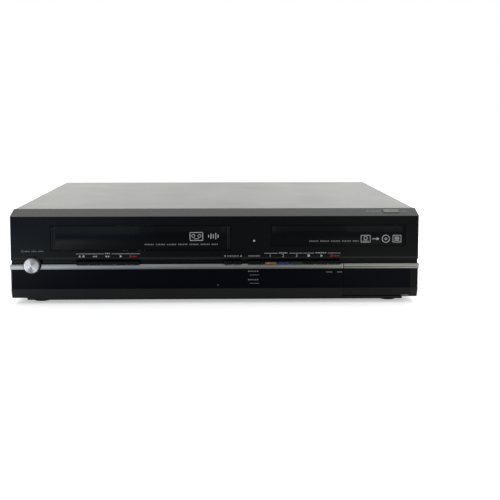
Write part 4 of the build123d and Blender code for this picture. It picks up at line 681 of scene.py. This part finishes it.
# on the cassette door: a cassette, a row of level bars and a line of small print
paneInk = pane["face"] - pane["proud"]
paneLine = {"height": 1.3, "share": 0.55, "group": 7}
doorLine = {"x": (-74.0, 3.0), "z": 63.9, "dashes": 46}
cassette = {"x": (-26.6, -13.3), "z": (68.0, 76.4), "line": 0.7, "hubs": (-23.2, -16.7),
            "hubZ": 72.9, "radius": 1.9, "thin": 0.6, "bar": (-22.6, -17.3), "barZ": 69.8}
levels = {"x": -7.6, "z": 72.5, "pitch": 2.5, "width": 0.9, "heights": (2.6, 5.6, 4.2, 6.8, 3.4)}
dress(joined("doorSmallPrint", inkDashes(doorLine["x"], doorLine["z"], paneInk, doorLine["dashes"],
                                         **paneLine)), "printGrey", "cassette_door")
doorMarks = inkFrame(cassette["x"], cassette["z"], paneInk, cassette["line"])
doorMarks += [inkRing(hubX, cassette["hubZ"], cassette["radius"], paneInk, cassette["thin"])
              for hubX in cassette["hubs"]]
doorMarks.append(inkBar(cassette["bar"], cassette["barZ"], paneInk, cassette["thin"]))
for count, high in enumerate(levels["heights"]):
    barX = levels["x"] + count * levels["pitch"]
    doorMarks.append(inkBar((barX, barX + levels["width"]), levels["z"], paneInk, high))
dress(joined("doorPrint", doorMarks), "printWhite", "cassette_door")

# on the tray front: a drive, an arrow, a disc and a framed page, and a line of small print
trayLine = {"x": (98.9, 151.3), "z": 66.9, "dashes": 32}
signRow = {"z": (65.6, 72.9), "middle": 69.2, "line": 0.6}
drive = {"x": (153.3, 163.0), "ringX": 158.1, "ringZ": 70.0, "radius": 2.1, "bar": (155.0, 161.4),
         "barZ": 66.9, "barLine": 0.5}
arrow = {"x": (165.2, 170.4), "line": 0.8, "tip": 170.8, "size": 1.8}
disc = {"x": 179.5, "radius": 4.2, "line": 0.7, "hole": 1.3}
page = {"x": (187.0, 195.5), "text": (188.8, 193.7), "rows": (67.6, 69.2, 70.9), "line": 0.9}
dress(joined("traySmallPrint", inkDashes(trayLine["x"], trayLine["z"], paneInk, trayLine["dashes"],
                                         **paneLine)), "printGrey", "disc_tray")
trayMarks = inkFrame(drive["x"], signRow["z"], paneInk, signRow["line"])
trayMarks += [inkRing(drive["ringX"], drive["ringZ"], drive["radius"], paneInk, signRow["line"]),
              inkBar(drive["bar"], drive["barZ"], paneInk, drive["barLine"]),
              inkBar(arrow["x"], signRow["middle"], paneInk, arrow["line"]),
              inkShape("triangle", arrow["tip"], signRow["middle"], arrow["size"], paneInk, "right"),
              inkRing(disc["x"], signRow["middle"], disc["radius"], paneInk, disc["line"]),
              inkRing(disc["x"], signRow["middle"], disc["hole"], paneInk, signRow["line"])]
trayMarks += inkFrame(page["x"], signRow["z"], paneInk, signRow["line"])
trayMarks += [inkBar(page["text"], level, paneInk, page["line"]) for level in page["rows"]]
dress(joined("trayPrint", trayMarks), "printWhite", "disc_tray")

# on the display window, as x, z, dashes, height
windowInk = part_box("display_window")[0].y * 1000 - faceY
windowLines = (((34.4, 48.2), 35.0, 6, 1.0), ((34.4, 48.2), 26.0, 6, 1.0),
               ((116.9, 123.7), 33.9, 4, 0.9), ((128.7, 134.2), 33.9, 3, 0.9))
windowBars = {"x": (36.2, 46.0), "z": (31.1, 22.1), "line": 0.35}
windowDot = {"x": 2.6, "z": 20.4, "size": 0.5}
windowMarks = [inkShape("dot", windowDot["x"], windowDot["z"], windowDot["size"], windowInk)]
for x, z, dashes, height in windowLines:
    windowMarks += inkDashes(x, z, windowInk, dashes, height)
windowMarks += [inkBar(windowBars["x"], level, windowInk, windowBars["line"])
                for level in windowBars["z"]]
dress(joined("windowPrint", windowMarks), "printGrey", "root")

# on the sloping strip above the face, beside its key
slope = {"foot": 93.3, "run": 16.0, "rise": 6.7, "depth": 9.5, "width": 1.6, "thick": 0.1,
         "bars": ((159.8, 175.4), (196.6, 203.0))}
slopeZ = slope["foot"] + slope["depth"] * slope["rise"] / slope["run"]
stripMarks = []
for barX in slope["bars"]:
    letGo()
    bpy.ops.mesh.primitive_cube_add(size=0.001, rotation=(atan2(slope["rise"], slope["run"]), 0, 0),
                                    location=metres(middle(barX), slope["depth"], slopeZ))
    stripBar = bpy.context.object
    stripBar.scale = (barX[1] - barX[0], slope["width"], slope["thick"])
    stripMarks.append(settle(stripBar))
dress(joined("stripPrint", stripMarks), "keySilver", "root")
print("door, tray, window and strip print on")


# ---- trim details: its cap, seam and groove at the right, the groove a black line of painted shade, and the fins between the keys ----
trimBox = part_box("trim_strip")
trimFront, trimZ = trimBox[0].y * 1000 - faceY, (trimBox[0].z * 1000, trimBox[1].z * 1000)
trim = {"seam": 135.0, "end": 213.0, "sunk": 0.5, "margin": 0.1, "cap": 3.2, "capProud": 0.35,
        "capFoot": 0.2, "capBevel": 0.5, "gap": (0.3, 0.4), "lineProud": 0.04, "lineBevel": 0.05,
        "groove": (2.0, 2.6)}
trimCap = addBlock("trimCap", (trim["seam"] - trim["cap"], trim["seam"] - trim["gap"][0]),
                   (trimFront - trim["capProud"], trim["sunk"]),
                   (trimZ[0] + trim["capFoot"], trimZ[1] - trim["margin"]), trim["capBevel"], 4)
dress(trimCap, "silverTrim", "root")
lineDepth = (trimFront - trim["lineProud"], trim["sunk"])
trimSeam = addBlock("trimSeam", (trim["seam"] - trim["gap"][0], trim["seam"] + trim["gap"][1]),
                    lineDepth, (trimZ[0] + trim["margin"], trimZ[1] - trim["margin"]),
                    trim["lineBevel"])
# the groove is a thin black strip just proud of the trim: painted shade
trimGrooveShade = addBlock("trimGrooveShade", (trim["seam"], trim["end"]), lineDepth,
                      (trimZ[0] + trim["groove"][0], trimZ[0] + trim["groove"][1]),
                      trim["lineBevel"])
dress(joined("trimLines", [trimSeam, trimGrooveShade]), "keyBlack", "root")
deckKeys = {"left": -145.8, "pitch": 13.2, "count": 5}
bankKeys = {"left": 51.3, "pitch": 13.4, "count": 6}
fin = {"half": 0.18, "depth": (-3.4, 2.0), "rise": (-0.5, 1.5), "bevel": 0.08}
fins = []
for row in (deckKeys, bankKeys):
    for count in range(1, row["count"]):
        finX = row["left"] + count * row["pitch"]
        fins.append(addBlock("keyFin", (finX - fin["half"], finX + fin["half"]), fin["depth"],
                             (trimZ[1] + fin["rise"][0], trimZ[1] + fin["rise"][1]), fin["bevel"]))
dress(joined("keyFins", fins), "silverTrim", "root")
print("trim details on")


# ---- cover screws: domed heads with a cross recess ----
screw = {"height": 1.3, "stem": 1.5, "length": 3.0, "slot": 0.75, "reach": 2.0, "bite": 0.8,
         "dome": ((1.8, 1.24), (2.8, 0.95), (3.35, 0.55), (3.5, 0.25), (3.5, 0.0)),
         "backX": (-180.5, 0.0, 180.5), "backZ": 95.0, "sideDepths": (60.0, 290.0), "sideZ": 14.0}
screwHead = addLathe("screwHead", [
    (0.0, screw["height"]), *screw["dome"], (screw["stem"], 0.0),
    (screw["stem"], -screw["length"]), (0.0, -screw["length"])], 40)
cutters = []
for turn in (0, pi / 2):
    letGo()
    bpy.ops.mesh.primitive_cube_add(size=0.001, rotation=(0, 0, turn),
                                    location=(0, 0, screw["height"] / 1000))
    cutters.append(bpy.context.object)
    cutters[-1].scale = (screw["reach"] * 2, screw["slot"], screw["bite"] * 2)
    settle(cutters[-1])
cutFrom(screwHead, cutters)
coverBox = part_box("top_cover")
coverSide, coverBack = coverBox[1].x * 1000, coverBox[1].y * 1000 - faceY
screwPlaces = [(x, coverBack, screw["backZ"], "back") for x in screw["backX"]]
screwPlaces += [(side * coverSide, depth, screw["sideZ"], facing)
                for side, facing in ((-1, "left"), (1, "right")) for depth in screw["sideDepths"]]
screws = [placeLathe(copyOf(screwHead, "coverScrew"), *place) for place in screwPlaces]
bpy.data.objects.remove(screwHead)
coverScrews = dress(joined("coverScrews", screws), "blackScrew", "root")
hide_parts("cover_screws")
print("cover screws cut")


# ---- rear sockets: coloured collars, aerial threads and contacts ----
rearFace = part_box("rear_panel")[1].y * 1000 - faceY
collar = {"z": (28.6, 44.0), "inner": 4.2, "outer": 5.8, "thick": 0.9, "chamfer": 0.25}
for jackX, jackColor, jackSlot in ((44.0, "jackYellow", "key_orange"),
                                   (58.0, "jackWhite", "white_plastic"),
                                   (72.0, "jackRed", "key_orange")):
    collars = []
    for jackZ in collar["z"]:
        ring = addLathe("jackCollar", [
            (collar["inner"], 0.0), (collar["outer"], 0.0),
            (collar["outer"], collar["thick"] - collar["chamfer"]),
            (collar["outer"] - collar["chamfer"], collar["thick"]),
            (collar["inner"], collar["thick"]), (collar["inner"], 0.0)], 40)
        collars.append(placeLathe(ring, jackX, rearFace, jackZ, "back"))
    dress(joined(jackColor + "Collars", collars), jackColor, "root")
thread = {"x": 174.0, "z": (28.6, 48.6), "crest": 5.0, "root": 4.7, "inner": 4.4, "pitch": 0.9,
          "turns": 7, "start": 1.2}
aerials = []
for aerialZ in thread["z"]:
    profile = [(thread["inner"], thread["start"])]
    for count in range(thread["turns"]):
        low = thread["start"] + count * thread["pitch"]
        profile += [(thread["root"], low), (thread["crest"], low + thread["pitch"] / 2)]
    top = thread["start"] + thread["turns"] * thread["pitch"]
    profile += [(thread["root"], top), (thread["inner"], top), (thread["inner"], thread["start"])]
    aerials.append(placeLathe(addLathe("aerialThread", profile, 40), thread["x"], rearFace, aerialZ,
                              "back"))
dress(joined("aerialThreads", aerials), "jackMetal", "root")
contact = {"x": -12.0, "z": (29.6, 55.6), "pitch": 3.9, "count": 10, "half": 0.5, "high": 1.1,
           "row": 2.6, "depth": (-7.5, -1.6)}
contactDepth = [rearFace + depth for depth in contact["depth"]]
contacts = []
for socketZ in contact["z"]:
    for row in (-1, 1):
        for count in range(contact["count"]):
            contactX = contact["x"] + (count - (contact["count"] - 1) / 2) * contact["pitch"]
            contactZ = socketZ + row * contact["row"]
            contacts.append(addBlock(
                "contact", (contactX - contact["half"], contactX + contact["half"]), contactDepth,
                (contactZ - contact["high"], contactZ + contact["high"])))
dress(joined("socketContacts", contacts), "jackMetal", "root")
print("rear sockets dressed")


# ---- floor, light and camera ----
floorLook = {"size": 60.0, "color": (0.86, 0.86, 0.865, 1), "seen": (1.6, 1.6, 1.6, 1), "glow": 0.45,
             "backTone": (0.9, 0.9, 0.88, 1), "width": 0.8, "nearEdge": (-0.62, -0.42),
             "behindEdge": (-0.2, 0.3),
             "frontTones": [(-0.34, (1.6, 1.65, 1.7)), (-0.28, (2.2, 2.2, 2.15)),
                            (-0.23, (1.4, 1.47, 1.52)), (-0.19, (0.8, 0.88, 0.98)),
                            (-0.13, (0.46, 0.51, 0.56)), (-0.03, (0.285, 0.285, 0.27)),
                            (0.10, (0.33, 0.33, 0.315)), (0.19, (0.85, 0.81, 0.73)),
                            (0.33, (1.1, 1.05, 0.97))],
             "farTones": [(-0.34, (0.42, 0.64, 0.9)), (-0.2, (0.32, 0.48, 0.68)),
                          (-0.05, (0.2, 0.24, 0.28)), (0.1, (0.24, 0.25, 0.26)),
                          (0.33, (0.4, 0.4, 0.4))]}
letGo()
bpy.ops.mesh.primitive_plane_add(size=floorLook["size"], location=(0, 0, 0))
floor = bpy.context.object
floor.name = "floor"
floorMaterial, floorTree, floorShader = newMaterial("studioFloor")
floorTree.nodes.remove(floorShader)
rays = addNode(floorTree, "LightPath").outputs
spot = axesOf(floorTree, addNode(floorTree, "TexCoord").outputs["Object"])
# in reflections the paper before the object is dimmer, and brightest and coolest at its left
half = floorLook["width"] / 2
across = addRange(floorTree, spot["X"], 0.0, 1.0, -half, half)
nearTone, farTone = [
    addRamp(floorTree, across, [(x / floorLook["width"] + 0.5, color) for x, color in floorLook[tones]])
    for tones in ("frontTones", "farTones")]
nearness = addRange(floorTree, spot["Y"], 0.0, 1.0, *floorLook["nearEdge"])
behind = addRange(floorTree, spot["Y"], 0.0, 1.0, *floorLook["behindEdge"])
frontTone = addMix(floorTree, nearness, farTone, nearTone)
glossyTone = addMix(floorTree, behind, frontTone, floorLook["backTone"])
tone = addMix(floorTree, rays["Is Glossy Ray"], floorLook["color"], glossyTone)
# the camera sees the paper over-lit, so that only the tight shadow under the object stays
paper = feed(floorTree, addNode(floorTree, "BsdfDiffuse"), {
    "Color": addMix(floorTree, rays["Is Camera Ray"], tone, floorLook["seen"])})
glow = feed(floorTree, addNode(floorTree, "Emission"), {
    "Color": (1, 1, 1, 1),
    "Strength": addMath(floorTree, "MULTIPLY", rays["Is Camera Ray"], floorLook["glow"])})
both = feed(floorTree, addNode(floorTree, "AddShader"), {
    0: paper.outputs["BSDF"], 1: glow.outputs["Emission"]})
feed(floorTree, floorTree.nodes["Material Output"], {"Surface": both.outputs["Shader"]})
floor.data.materials.append(floorMaterial)

worldLook = {"ambient": 0.5, "front": 0.2, "back": 1.02, "turnEdge": (-0.15, 0.25),
             "middle": 0.87, "sideEdge": (0.0, 0.22), "low": 1.85, "lowEdge": (0.08, 0.27),
             "plain": (1, 1, 1, 1), "warm": (0.99, 1.0, 0.96, 1)}
world = bpy.data.worlds.new("studioWorld")
bpy.context.scene.world = world
world.use_nodes = True
sky = world.node_tree
for old in list(sky.nodes):
    sky.nodes.remove(old)
skyRays = addNode(sky, "LightPath").outputs
toward = axesOf(sky, addNode(sky, "TexCoord").outputs["Generated"])
backShare = addRange(sky, toward["Y"], worldLook["front"], worldLook["back"], *worldLook["turnEdge"])
# the backdrop is a little darker straight behind the object than to its sides
sideways = addMath(sky, "ABSOLUTE", toward["X"])
sideShare = addRange(sky, sideways, worldLook["middle"], 1.0, *worldLook["sideEdge"],
                     interpolation_type="SMOOTHSTEP")
# and brighter near the floor than overhead
lowShare = addRange(sky, toward["Z"], worldLook["low"], 1.0, *worldLook["lowEdge"])
backTone = addMath(sky, "MULTIPLY", addMath(sky, "MULTIPLY", backShare, sideShare), lowShare)
level = addMix(sky, skyRays["Is Glossy Ray"], worldLook["ambient"], backTone, "FLOAT")
# the camera sees it plain white, also through glass
seen = addMath(sky, "MAXIMUM", skyRays["Is Camera Ray"], skyRays["Is Transmission Ray"])
background = feed(sky, addNode(sky, "Background"), {
    "Color": addMix(sky, skyRays["Is Glossy Ray"], worldLook["plain"], worldLook["warm"]),
    "Strength": addMix(sky, seen, level, 1.0, "FLOAT")})
feed(sky, addNode(sky, "OutputWorld"), {"Surface": background.outputs["Background"]})


def addSoftLight(name, look):
    letGo()
    bpy.ops.object.light_add(type="AREA", location=look["place"])
    light = bpy.context.object
    light.name = name
    light.data.shape = "RECTANGLE"
    light.data.size, light.data.size_y = look["size"]
    light.data.energy = look["level"] * pi * look["size"][0] * look["size"][1]
    light.data.color = look["color"]
    aim = Vector(look["aim"]) - Vector(look["place"])
    light.rotation_euler = aim.to_track_quat("-Z", "Y").to_euler()


addSoftLight("topLight", {"place": (0.0, 0.62, 1.15), "aim": (0, -0.05, 0.05), "size": (1.7, 0.9),
                          "level": 1.25, "color": (1.0, 1.0, 1.0)})
addSoftLight("leftLight", {"place": (-0.62, -1.5, 0.36), "aim": (-0.1, -0.17, 0.06),
                           "size": (0.9, 1.0), "level": 0.45, "color": (0.72, 0.88, 1.0)})
addSoftLight("rightLight", {"place": (0.75, -1.5, 0.4), "aim": (0.1, -0.17, 0.06),
                            "size": (0.8, 0.9), "level": 0.3, "color": (1.0, 0.98, 0.96)})

# the object sits left of the middle of the frame, so the camera is turned a little to its right
view = {"place": (0.0, -1.0973, 0.2079), "lens": 63.97, "sensor": 36, "turn": 1.275, "down": 5.37,
        "shift": (0.03, -0.12)}
letGo()
bpy.ops.object.camera_add(location=view["place"],
                          rotation=(radians(90 - view["down"]), 0, radians(-view["turn"])))
camera = bpy.context.object
camera.data.lens = view["lens"]
camera.data.sensor_width = view["sensor"]
camera.data.shift_x, camera.data.shift_y = view["shift"]
camera.data.dof.use_dof = False
bpy.context.scene.camera = camera
bpy.context.scene.view_settings.view_transform = "Standard"
print("floor, light and camera set")
